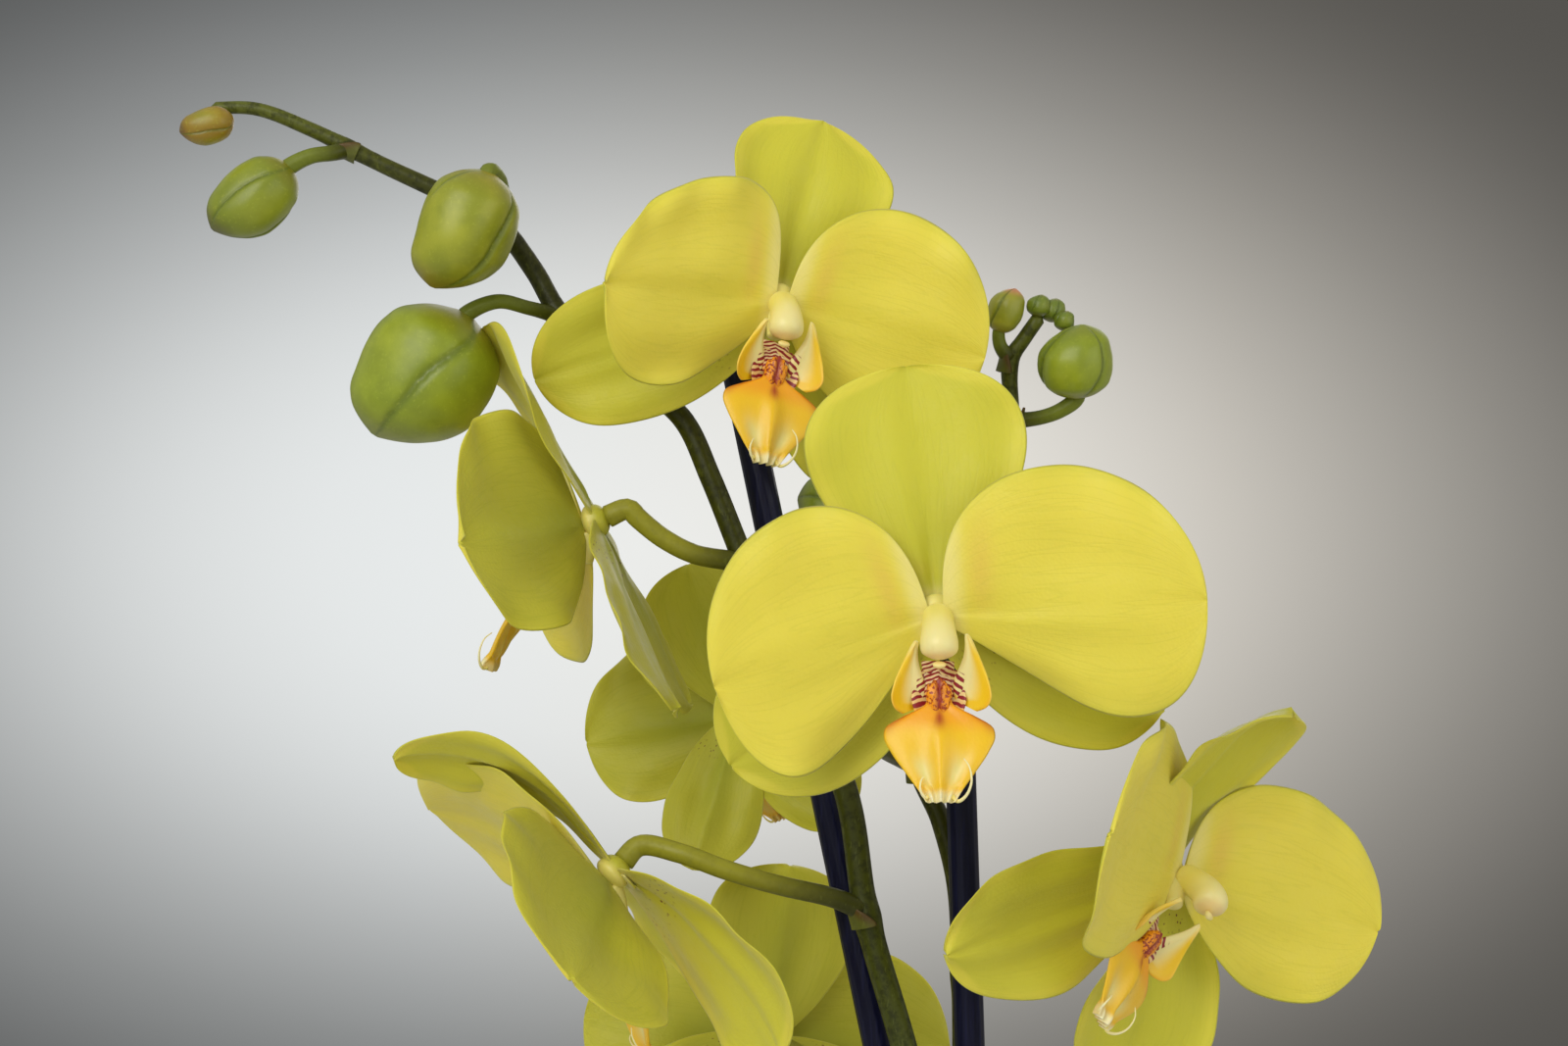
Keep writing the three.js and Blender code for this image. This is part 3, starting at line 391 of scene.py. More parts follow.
def put_in_scene(name, shell, finish, slot, *nodes):
    """Makes the shell a mesh object in metres that rides on the frame and stands for CAD nodes."""
    quads, tris = shell["quads"], shell["tris"]
    loops = np.concatenate([quads.ravel(), tris.ravel()]).astype(np.int32)
    starts = np.concatenate([np.arange(len(quads)) * 4, len(quads) * 4 + np.arange(len(tris)) * 3])
    mesh = bpy.data.meshes.new(name)
    mesh.vertices.add(len(shell["points"]))
    mesh.vertices.foreach_set("co", (shell["points"] * MM).astype(np.float32).ravel())
    mesh.loops.add(len(loops))
    mesh.loops.foreach_set("vertex_index", loops)
    mesh.polygons.add(len(starts))
    mesh.polygons.foreach_set("loop_start", starts.astype(np.int32))
    mesh.update(calc_edges=True)
    mesh.polygons.foreach_set("use_smooth", np.ones(len(starts), bool))
    for key, value in shell.items():
        if key == "map":
            layer = mesh.uv_layers.new(name="along_across")
            layer.uv.foreach_set("vector", value[loops].astype(np.float32).ravel())
        elif key == "tint":
            rgba = np.hstack([value, np.ones((len(value), 1))]).astype(np.float32)
            mesh.attributes.new("tint", "FLOAT_COLOR", "POINT").data.foreach_set("color", rgba.ravel())
        elif key not in ("points", "quads", "tris"):
            mesh.attributes.new(key, "FLOAT", "POINT").data.foreach_set("value", value.astype(np.float32))
    if mesh.validate():
        raise RuntimeError(f"{name} had faces that don't hold together")
    mesh.materials.append(finish)
    piece = bpy.data.objects.new(name, mesh)
    bpy.context.scene.collection.objects.link(piece)
    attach(piece, "root")
    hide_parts(*nodes)
    return piece


# ---------------------------------------------------------------- stems
def tube(path, radius, sides, rounding=0.0, squash=1.0, **paint):
    """A tube along path. radius is one number for each ring, or for each point of each ring. The
    ring's axes are a fixed direction made square to the path, and the square to both. Near each
    end the radius follows a quarter of an ellipse, rounding long."""
    tangent = unit(np.gradient(path, axis=0))
    axes = np.eye(3)
    steady = axes[np.argmin(np.abs(tangent @ axes).max(0))]
    across = unit(steady - (tangent @ steady)[:, None] * tangent)
    over = np.cross(tangent, across)
    run = lengths_along(path)
    radius = np.broadcast_to(np.asarray(radius, float).reshape(len(path), -1), (len(path), sides)).copy()
    if rounding:
        near = np.clip(np.minimum(run, run[-1] - run) / rounding, 0, 1)
        radius *= np.sqrt(np.maximum(1 - (1 - near) ** 2, 0.01))[:, None]
    turn = 2 * np.pi * np.arange(sides) / sides
    rings = (path[:, None, :] + radius[..., None] * (np.cos(turn)[None, :, None] * across[:, None, :]
             + squash * np.sin(turn)[None, :, None] * over[:, None, :]))
    return round_shell(rings, **paint)


def with_fine_ends(path, rounding):
    """The path with its last stretches cut finer, so that a rounded end is smooth."""
    run = lengths_along(path)
    fine = rounding * (1 - np.cos(np.linspace(0, np.pi / 2, 7)))
    inner = run[(run > rounding * 1.1) & (run < run[-1] - rounding * 1.1)]
    at = np.concatenate([fine, inner, (run[-1] - fine)[::-1]])
    return np.stack([np.interp(at, run, path[:, k]) for k in range(3)], axis=1)


def even_radii(path, radii):
    """Radii along the path, running evenly through the list."""
    share = lengths_along(path)
    return np.interp(share / share[-1], np.linspace(0, 1, len(radii)), radii)


# ---------------------------------------------------------------- blades: tepals, leaves and lobes
PLAIN_BLADE = dict(rise=(1, 1), round=0.5, claw=0.12, skew=0, cup=0, cup_tip=0, twist=0, bow=0, tilt=0,
                   reflex=0, late=1, outline=None)


def half_width(blade, s, v):
    """Half-width as a share of its greatest: claw (1-s)^round + (1-claw) times the lobe curve
    (s/top)^rise ((1-s)/(1-top))^round, whose top is rise/(rise+round), or a knotted outline."""
    if blade["outline"]:
        return knotted(s, blade["outline"]) + 0 * v
    rise = np.where(v > 0, blade["rise"][0], blade["rise"][1])
    fall = blade["round"]
    top = rise / (rise + fall)
    lobe = (s / top) ** rise * ((1 - s) / (1 - top)) ** fall
    return blade["claw"] * (1 - s) ** fall + (1 - blade["claw"]) * lobe


def blade_points(blade, s, v, lift):
    """Points of a blade that lies along x with its face towards z. Across, it is an arc of the angle
    cup + cup_tip s; it is turned about its middle line by twist s, bowed sideways by bow L s^2, and
    bent lengthwise by the angle tilt + reflex s^late, summed in fine steps."""
    length, width = blade["length"], blade["width"]
    off = v * 0.5 * width * (1 + np.sign(v) * blade["skew"]) * half_width(blade, s, v)
    turn = blade["cup"] + blade["cup_tip"] * s
    curl = np.where(np.abs(turn) < 1e-4, 1e-4, turn) / width
    flat_across = np.sin(curl * off) / curl
    flat_up = (1 - np.cos(curl * off)) / curl + lift
    spin = blade["twist"] * s
    across = flat_across * np.cos(spin) - flat_up * np.sin(spin) + blade["bow"] * length * s * s
    up = flat_across * np.sin(spin) + flat_up * np.cos(spin)
    fine = np.linspace(0, 1, 401)
    angle = blade["tilt"] + blade["reflex"] * fine ** blade["late"]
    step = length / 400
    out = np.concatenate([[0], np.cumsum((np.cos(angle[1:]) + np.cos(angle[:-1])) / 2)]) * step
    drop = np.concatenate([[0], np.cumsum((np.sin(angle[1:]) + np.sin(angle[:-1])) / 2)]) * step
    end = blade["tilt"] + blade["reflex"] * s ** blade["late"]
    return np.stack(np.broadcast_arrays(np.interp(s, fine, out) + up * np.sin(end), across,
                                        -np.interp(s, fine, drop) + up * np.cos(end)), axis=-1)


def blade_grid(rows, sides):
    """s for each ring, closer together at both ends; v and the share of the thickness, from -1 to
    1, for each point round a ring: front from one edge to the other, then back."""
    s = (0.5 - 0.5 * np.cos(np.linspace(0, np.pi, rows)))[:, None] * 0.9995
    turn = 2 * np.pi * np.arange(sides) / sides
    level = 1 - np.abs((turn / np.pi) % 2 - 1) * 2  # -1 at turn 0, 1 at half a turn
    v = -(0.5 * -np.cos(turn) + 0.5 * level)[None, :]
    lift = (np.sign(np.sin(turn)) * np.sqrt(np.maximum(1 - np.abs(v[0]) ** 6, 0)))[None, :]
    lift[0, [0, sides // 2]] = 0
    return s, v, lift


def blade_shell(blade, thickness, rows, sides, surface=None, colour=None, **paint):
    """A closed blade. surface(s, v) adds to the height of its middle surface, in mm; colour(s, v,
    front) gives its tint, where front is 1 on the face, 0 on the back."""
    blade = {**PLAIN_BLADE, **blade}
    s, v, lift = blade_grid(rows, sides)
    height = lift * thickness / 2 + (surface(s, v) if surface else 0)
    rings = blade_points(blade, s, v, height)
    front = (0.5 + 0.5 * np.clip(lift * 1.5, -1, 1)) + 0 * s
    maps = np.stack(np.broadcast_arrays(s, 0.5 + 0.5 * v), axis=-1)
    if colour:
        paint["tint"] = colour(s, v, front)
    painted = {key: value(s, v) + 0 * s * v if callable(value) else value for key, value in paint.items()}
    shell = flat_shell(rings, map=maps, front=front, **painted)
    if blade.get("flip"):
        shell["points"] = shell["points"] * [1, -1, 1]
    return outward(shell)


def turned(shell, degrees, layer=0.0, start=0.0):
    """The shell carried start along x, turned about z by degrees and raised by layer."""
    a = math.radians(degrees)
    matrix = np.array([[math.cos(a), -math.sin(a), 0], [math.sin(a), math.cos(a), 0], [0, 0, 1]])
    return moved(shell, matrix, matrix @ [start, 0, 0] + [0, 0, layer])


def flower_axes(flower):
    """A flower's right, dorsal and facing directions as columns, and its place."""
    yaw, pitch, roll = (math.radians(flower[k]) for k in ("yaw", "pitch", "roll"))
    facing = np.array([math.sin(yaw) * math.cos(pitch), -math.cos(yaw) * math.cos(pitch), -math.sin(pitch)])
    level = unit(np.array([0, 0, 1]) - facing[2] * facing)
    dorsal = level * math.cos(roll) - np.cross(facing, level) * math.sin(roll)
    right = np.cross(dorsal, facing)
    return np.stack([right, dorsal, facing], axis=1), np.array(flower["at"]) + LIFT


# ---------------------------------------------------------------- settings
def length_setting(name, description, default):
    return bpy.props.FloatProperty(name=name, description=description, default=default, min=0.0001,
                                   max=0.2, unit="LENGTH", precision=4)


def colour_setting(name, description, *display):
    return bpy.props.FloatVectorProperty(name=name, description=description, default=linear(*display),
                                         size=3, min=0, max=1, subtype="COLOR")


class OrchidFlowerSettings(bpy.types.PropertyGroup):
    """Sizes and colours of the open flowers."""
    tepal_thickness: length_setting("Tepal thickness", "Thickness of petals and sepals", 0.0007)
    lobe_thickness: length_setting("Lip thickness", "Thickness of the lip's lobes", 0.0009)
    ruffle: length_setting("Ruffle", "How far the margins of the petals wave", 0.001)
    petal: colour_setting("Petal", "Face of the petals", 238, 221, 80)
    sepal: colour_setting("Sepal", "Face of the sepals", 214, 208, 62)
    back: colour_setting("Back", "Back of petals and sepals", 198, 194, 58)
    cream: colour_setting("Cream", "Heart of the flower", 248, 234, 158)
    lip: colour_setting("Lip", "Middle lobe of the lip", 250, 200, 12)
    stripe: colour_setting("Stripe", "Stripes in the lip's throat", 146, 14, 34)


class OrchidStemSettings(bpy.types.PropertyGroup):
    """Sizes and colours of the spikes, stalks and buds."""
    node_swelling: bpy.props.FloatProperty(name="Node swelling", description="Growth of a spike at its nodes",
                                           default=0.16, min=0, max=1, subtype="FACTOR")
    bract_length: length_setting("Bract length", "Length of the scale under each stalk", 0.0058)
    spike: colour_setting("Spike", "Skin of the flower spikes", 62, 64, 12)
    stalk: colour_setting("Stalk", "Skin of the flower stalks", 158, 154, 48)
    bract: colour_setting("Bract", "Dry edge of the bracts", 92, 70, 34)
    bud: colour_setting("Bud", "Skin of the buds", 146, 160, 30)


class OrchidPotSettings(bpy.types.PropertyGroup):
    """The pot, its bark and what stands in it."""
    foot_radius: length_setting("Foot radius", "Radius of the pot's underside", 0.046)
    wall: length_setting("Wall", "Thickness of the pot's wall", 0.004)
    floor: length_setting("Floor", "Thickness of the pot's floor", 0.005)
    chips: bpy.props.IntProperty(name="Chips", description="Bark chips on the surface", default=420, min=10,
                                 max=2000)
    glaze: colour_setting("Glaze", "Glaze of the pot", 222, 218, 208)
    bark: colour_setting("Bark", "Bark chips", 104, 70, 44)
    stake: colour_setting("Stake", "Skin of the stakes", 16, 17, 42)


class OrchidLeafSettings(bpy.types.PropertyGroup):
    """The leaves and roots."""
    edge_thickness: length_setting("Edge", "Thickness of a leaf near its margin", 0.0012)
    leaf: colour_setting("Leaf", "Upper side of the leaves", 70, 108, 40)
    root: colour_setting("Root", "Dry skin of the roots", 176, 180, 158)


class OrchidStageSettings(bpy.types.PropertyGroup):
    """Floor, lamps and camera."""
    floor_radius: bpy.props.FloatProperty(name="Floor radius", description="Radius of the floor", default=2.3,
                                          min=0.5, max=10, unit="LENGTH")
    focal_length: bpy.props.FloatProperty(name="Focal length", description="Camera lens, in millimetres",
                                          default=82.9, min=10, max=300)
    key_power: bpy.props.FloatProperty(name="Key lamp", description="Power of the key lamp, in watts",
                                       default=15.5, min=0, max=1000)
    fill_power: bpy.props.FloatProperty(name="Fill lamp", description="Power of the fill lamp, in watts",
                                        default=5.5, min=0, max=1000)


# ---------------------------------------------------------------- finishes
class Finish:
    """A node material under way: its tree, its shader and short ways to add and join nodes."""

    def __init__(self, name, **sockets):
        self.material = bpy.data.materials.new(name)
        self.material.use_nodes = True
        self.tree = self.material.node_tree
        self.shader = self.tree.nodes["Principled BSDF"]
        self.fill(self.shader, {key.replace("_", " ").title().replace("Ior", "IOR"): value
                                for key, value in sockets.items()})

    def fill(self, node, sockets):
        for key, value in sockets.items():
            socket = node.inputs[key]
            if isinstance(value, bpy.types.NodeSocket):
                self.tree.links.new(value, socket)
            else:
                socket.default_value = value

    def add(self, kind, sockets=None, **settings):
        node = self.tree.nodes.new("ShaderNode" + kind)
        for key, value in settings.items():
            setattr(node, key, value)
        self.fill(node, sockets or {})
        return node

    def painted(self, name, what="Fac"):
        return self.add("Attribute", attribute_name=name).outputs[what]

    def place(self):
        return self.add("TexCoord").outputs["Object"]

    def stretched(self, vector, scale):
        return self.add("Mapping", {"Vector": vector, "Scale": scale}).outputs["Vector"]

    def noise(self, vector, scale, detail=3.0, roughness=0.55, distortion=0.0):
        return self.add("TexNoise", {"Vector": vector, "Scale": scale, "Detail": detail,
                                     "Roughness": roughness, "Distortion": distortion}).outputs["Fac"]

    def maths(self, operation, *values):
        node = self.add("Math", operation=operation)
        self.fill(node, dict(enumerate(values)))
        return node.outputs[0]

    def fade(self, value, low, high, to_low=0.0, to_high=1.0):
        """to_low up to low, to_high from high on, and a smooth step between."""
        return self.add("MapRange", {"Value": value, "From Min": low, "From Max": high, "To Min": to_low,
                                     "To Max": to_high}, interpolation_type="SMOOTHSTEP").outputs["Result"]

    def blend(self, share, a, b, how="MIX"):
        node = self.add("Mix", data_type="RGBA", blend_type=how)
        colour = [(*x, 1) if isinstance(x, tuple) else x for x in (a, b)]
        for index, value in ((0, share), (6, colour[0]), (7, colour[1])):
            self.fill(node, {index: value})
        return node.outputs[2]

    def bump(self, height, distance, strength=1.0, normal=None):
        sockets = {"Height": height, "Distance": distance, "Strength": strength}
        if normal:
            sockets["Normal"] = normal
        return self.add("Bump", sockets).outputs["Normal"]

    def finish(self, **sockets):
        self.fill(self.shader, {key.replace("_", " ").title(): value for key, value in sockets.items()})
        return self.material


_finishes = {}


def finish_of(maker):
    """The material that maker makes, made once."""
    if maker.__name__ not in _finishes:
        _finishes[maker.__name__] = maker()
    return _finishes[maker.__name__]


def settings(name):
    return getattr(bpy.context.scene, "orchid_" + name)


def petal_finish():
    """Waxy petal skin: the painted tint, fine forking veins that run out from the base, freckles
    where painted, an olive back, a grain of small cells, and light let through."""
    f = Finish("petal_skin", roughness=0.5, subsurface_weight=0.35, subsurface_scale=0.0012,
               subsurface_radius=(1.0, 0.85, 0.25), sheen_weight=0.12, sheen_roughness=0.4,
               specular_ior_level=0.35)
    place = f.place()
    along = f.add("UVMap", uv_map="along_across").outputs["UV"]
    vein_place = f.stretched(along, (2.2, 26.0, 1.0))
    vein = f.fade(f.maths("ABSOLUTE", f.maths("SUBTRACT", f.noise(vein_place, 1.0, 2.0, 0.4, 0.25), 0.5)),
                  0.0, 0.05, 1.0, 0.0)
    front = f.painted("front")
    tint = f.painted("tint", "Color")
    cloud = f.fade(f.noise(place, 60.0, 3.0), 0.3, 0.7)
    colour = f.blend(f.maths("MULTIPLY", cloud, 0.16), tint, linear(206, 200, 62))
    colour = f.blend(f.maths("MULTIPLY", vein, f.fade(front, 0, 1, 0.26, 0.08)), colour, linear(176, 178, 40))
    cells = f.add("TexVoronoi", {"Vector": place, "Scale": 1500.0}).outputs["Distance"]
    dots = f.fade(f.add("TexVoronoi", {"Vector": f.stretched(along, (34.0, 24.0, 1.0)), "Scale": 1.0,
                                       "Randomness": 0.9}).outputs["Distance"], 0.16, 0.3, 1.0, 0.0)
    colour = f.blend(f.maths("MULTIPLY", dots, f.painted("freckle")), colour, linear(104, 34, 22))
    grain = f.bump(cells, 0.00005, 0.7)
    ridges = f.bump(f.maths("MULTIPLY", vein, -1.0), 0.00006, 0.3, grain)
    rough = f.fade(f.noise(place, 400.0), 0.3, 0.7, 0.44, 0.58)
    return f.finish(base_color=colour, roughness=rough, normal=ridges)


def lip_finish():
    """Glossy lip skin: the painted tint, broken crimson bars where painted, fine specks on the
    callus, and small warts."""
    f = Finish("lip_skin", roughness=0.4, subsurface_weight=0.12, subsurface_scale=0.001,
               subsurface_radius=(1.0, 0.6, 0.2), coat_weight=0.12, coat_roughness=0.3)
    place = f.place()
    wander = f.noise(place, 420.0, 2.0)
    bars = f.maths("ADD", f.maths("MULTIPLY", f.painted("stripe"), 2 * math.pi), f.maths("MULTIPLY", wander, 6.0))
    bars = f.fade(f.maths("SINE", bars), -0.25, 0.25)
    colour = f.blend(f.maths("MULTIPLY", bars, f.fade(f.painted("bars"), 0.3, 0.6)),
                     f.painted("tint", "Color"), tuple(settings("flower").stripe))
    specks = f.fade(f.noise(place, 1900.0, 2.0), 0.5, 0.58)
    colour = f.blend(f.maths("MULTIPLY", specks, f.painted("specks")), colour, linear(150, 34, 18))
    warts = f.add("TexVoronoi", {"Vector": place, "Scale": 1400.0}).outputs["Distance"]
    bumps = f.bump(warts, 0.00008, f.fade(f.painted("specks"), 0, 1, 0.25, 0.9))
    return f.finish(base_color=colour, normal=bumps)


def stem_finish():
    """Stem skin: the painted tint with dark mottling, pale lengthwise flecks and a waxy sheen."""
    f = Finish("stem_skin", roughness=0.5, specular_ior_level=0.25)
    place = f.place()
    mottle = f.fade(f.noise(place, 520.0, 4.0, 0.65), 0.42, 0.66)
    share = f.fade(f.painted("mottle"), 0, 1, 0.12, 0.6)
    dark = f.blend(f.maths("MULTIPLY", mottle, share), f.painted("tint", "Color"), linear(26, 28, 4))
    flecks = f.fade(f.noise(f.stretched(place, (1.0, 1.0, 0.3)), 1400.0, 2.0), 0.6, 0.7)
    colour = f.blend(f.maths("MULTIPLY", flecks, 0.2), dark, linear(128, 136, 62))
    rough = f.fade(mottle, 0, 1, 0.36, 0.52)
    return f.finish(base_color=colour, roughness=rough,
                    normal=f.bump(f.noise(place, 900.0, 3.0), 0.0001, 0.5))


def bud_finish():
    """Bud skin: the painted tint with soft blotches, pale pores and a wax bloom."""
    f = Finish("bud_skin", roughness=0.4, subsurface_weight=0.15, subsurface_scale=0.001,
               subsurface_radius=(0.8, 1.0, 0.3), coat_weight=0.1, coat_roughness=0.35)
    place = f.place()
    blotch = f.fade(f.noise(place, 160.0, 4.0), 0.35, 0.7)
    colour = f.blend(f.maths("MULTIPLY", blotch, 0.4), f.painted("tint", "Color"), linear(104, 120, 12))
    pores = f.fade(f.noise(place, 1600.0, 2.0), 0.58, 0.7)
    colour = f.blend(f.maths("MULTIPLY", pores, 0.2), colour, linear(190, 196, 70))
    return f.finish(base_color=colour, normal=f.bump(f.noise(place, 700.0, 3.0), 0.00008, 0.5))


def leaf_finish():
    """Leathery leaf: the painted tint, faint lengthwise veins and a waxy coat."""
    f = Finish("leaf_skin", roughness=0.42, coat_weight=0.06, coat_roughness=0.3,
               specular_ior_level=0.3)
    place = f.place()
    along = f.add("UVMap", uv_map="along_across").outputs["UV"]
    veins = f.noise(f.stretched(along, (1.5, 60.0, 1.0)), 1.0, 2.0)
    cloud = f.fade(f.noise(place, 28.0, 4.0), 0.3, 0.7)
    colour = f.blend(f.maths("MULTIPLY", cloud, 0.35), f.painted("tint", "Color"), linear(74, 112, 42))
    colour = f.blend(f.fade(veins, 0.45, 0.75, 0.0, 0.22), colour, linear(44, 76, 26))
    rough = f.fade(f.noise(place, 90.0), 0.3, 0.7, 0.36, 0.5)
    height = f.maths("ADD", f.maths("MULTIPLY", veins, 0.7), f.maths("MULTIPLY", f.noise(place, 500.0), 0.3))
    return f.finish(base_color=colour, roughness=rough, normal=f.bump(height, 0.00025, 0.6))


def root_finish():
    """Dry velamen: the painted tint, silvery flakes and a rough felted skin."""
    f = Finish("root_skin", roughness=0.75)
    place = f.place()
    flakes = f.fade(f.noise(place, 340.0, 4.0, 0.65), 0.4, 0.65)
    colour = f.blend(f.maths("MULTIPLY", flakes, 0.5), f.painted("tint", "Color"), linear(214, 216, 200))
    return f.finish(base_color=colour, normal=f.bump(f.noise(place, 800.0, 4.0), 0.0003, 0.7))


def bark_finish():
    """Pine bark: the painted tint in layers of brown, corky and rough."""
    f = Finish("bark_chip", roughness=0.9)
    place = f.place()
    layers = f.noise(f.stretched(place, (1.0, 1.0, 3.0)), 260.0, 5.0, 0.65, 0.5)
    colour = f.blend(f.fade(layers, 0.35, 0.7, 0.0, 0.7), f.painted("tint", "Color"), linear(58, 38, 24))
    flecks = f.fade(f.noise(place, 900.0, 3.0), 0.6, 0.72)
    colour = f.blend(f.maths("MULTIPLY", flecks, 0.5), colour, linear(178, 132, 86))
    return f.finish(base_color=colour, normal=f.bump(layers, 0.0012, 0.8))


def glaze_finish():
    """White glazed pottery: a barely uneven tint, fine specks, an unglazed warm foot."""
    f = Finish("pot_glazing", roughness=0.22, coat_weight=0.35, coat_roughness=0.12)
    place = f.place()
    cloud = f.fade(f.noise(place, 14.0, 4.0), 0.3, 0.7)
    colour = f.blend(f.maths("MULTIPLY", cloud, 0.4), f.painted("tint", "Color"), linear(216, 210, 196))
    specks = f.fade(f.noise(place, 700.0, 2.0), 0.68, 0.74)
    colour = f.blend(f.maths("MULTIPLY", specks, 0.35), colour, linear(150, 136, 112))
    rough = f.fade(f.painted("bare"), 0, 1, 0.22, 0.8)
    return f.finish(base_color=colour, roughness=rough, normal=f.bump(f.noise(place, 60.0, 3.0), 0.0004, 0.4))


def stake_finish():
    """Dark blue-black stake: lengthwise streaks over a satin skin."""
    f = Finish("stake_skin", roughness=0.4, specular_ior_level=0.18)
    place = f.place()
    streaks = f.noise(f.stretched(place, (1.0, 1.0, 0.04)), 1500.0, 3.0)
    colour = f.blend(f.fade(streaks, 0.45, 0.7, 0.0, 0.6), f.painted("tint", "Color"), linear(26, 28, 66))
    rough = f.fade(streaks, 0.3, 0.7, 0.3, 0.46)
    return f.finish(base_color=colour, roughness=rough, normal=f.bump(streaks, 0.00012, 0.6))


def clip_finish():
    """Moulded translucent green plastic with faint mould texture."""
    f = Finish("clip_moulding", roughness=0.3, subsurface_weight=0.2, subsurface_scale=0.001)
    place = f.place()
    cloud = f.fade(f.noise(place, 300.0), 0.3, 0.7)
    colour = f.blend(cloud, linear(58, 112, 44), linear(72, 128, 54))
    return f.finish(base_color=colour, normal=f.bump(f.noise(place, 2200.0), 0.00003, 0.4))


def floor_finish():
    """Pale matt floor with the faintest mottling."""
    f = Finish("studio_floor", roughness=0.85)
    cloud = f.fade(f.noise(f.place(), 3.0, 4.0), 0.3, 0.7)
    return f.finish(base_color=f.blend(cloud, linear(204, 204, 204), linear(210, 210, 209)),
                    normal=f.bump(f.noise(f.place(), 400.0), 0.0002, 0.15))


# ---------------------------------------------------------------- flowers
def tepal_of(flower, name):
    tepal = {**IDEAL_TEPALS[name], **flower["tepals"].get(name, {})}
    tepal["length"] *= flower["size"]
    tepal["width"] *= flower["size"]
    return tepal


def tepal_shell(flower, name, seed):
    """A petal or sepal: a blade with a waved margin, a shallow groove along its middle and soft
    unevenness, painted cream at the base, deeper in the middle and paler at the margin."""
    choice = settings("flower")
    petal = name.startswith("petal")
    tepal = tepal_of(flower, name)
    ruffle = choice.ruffle / MM * (1.5 if petal else 1.0)
    phase = seed * 1.7

    def surface(s, v):
        edge = np.abs(v) ** 3 * np.sqrt(s) * (1 - ease(s, 0.75, 1.0))
        waves = np.sin(9 * s + phase + 1.2 * np.sign(v)) + 0.6 * np.sin(17 * s * (1 + 0.2 * v) + 2 * phase)
        groove = -(0.6 if petal else 0.8) * hump(v, 0, 0.12) * ease(s, 0, 0.15) * (1 - 0.5 * s)
        folds = 0.4 * np.sin(9 * v + seed) * ease(s, 0.1, 0.5) * (1 - ease(s, 0.6, 1))
        return ruffle * edge * waves + groove + folds + 0.6 * ripple(2 * s, v, seed) * ease(s, 0.05, 0.5)

    def colour(s, v, front):
        face = choice.petal if petal else choice.sepal
        middle = mix(tuple(face), linear(196, 196, 44), (0.2 if petal else 0.5) * hump(v, 0, 0.4) * (1 - s))
        margin = ease(np.abs(v) + 0.6 * ease(s, 0.85, 1.0), 0.75, 1.0)
        shown = mix(middle, linear(242, 226, 84), 0.5 * margin)
        blush = hump(s, 0.15, 0.05) * hump(v, 0.35, 0.4) * (0.3 if petal else 0.1)
        shown = mix(shown, linear(228, 170, 90), blush)
        heart = (1 - ease(s, 0.03, 0.11)) + 0 * v
        shown = mix(shown, tuple(choice.cream), 0.6 * heart)
        behind = mix(tuple(choice.back), linear(160, 166, 40), hump(v, 0, 0.3) * (1 - s))
        return mix(behind, shown, front)

    def freckle(s, v):
        return 0 * s * v if not name.startswith("lateral") else hump(s, 0.2, 0.06) * (1 - ease(np.abs(v), 0.8, 1))

    shell = blade_shell(tepal, choice.tepal_thickness / MM, 60, 88, surface, colour, freckle=freckle)
    return turned(shell, tepal["at"], tepal["layer"], TEPAL_START)


def lateral_strap():
    """The web that joins the two lateral sepals under the column."""
    choice = settings("flower")
    strap = dict(length=4.2, width=11, rise=(0.1, 0.1), round=0.15, claw=0.9, cup=0.3)
    shell = blade_shell(strap, choice.tepal_thickness / MM, 12, 40, None,
                        lambda s, v, front: mix(tuple(choice.cream), tuple(choice.sepal), ease(s, 0, 1) + 0 * front))
    return turned(shell, -90, IDEAL_TEPALS["lateral_left"]["layer"], TEPAL_START - 0.8)


def tendril(side, size):
    """One whisker of the lip's tip: a slender curl that rises in front of the lobe and thins to a
    point."""
    path = through([(-1.0, side * 1.8, -0.1), (0.2, side * 2.8, 0.2), (-0.3, side * 4.0, 1.2), (-1.9, side * 4.7, 2.4),
                    (-3.9, side * 4.4, 3.1), (-5.4, side * 3.6, 2.9)], 0.25)
    path = path[0] + (path - path[0]) * size
    t = np.linspace(0, 1, len(path))
    colour = mix(linear(250, 226, 110), linear(252, 240, 180), ease(t, 0, 0.4))[:, None, :] + np.zeros((1, 12, 1))
    return tube(path, 0.46 - 0.36 * t ** 0.6, 12, 0.3, tint=colour)


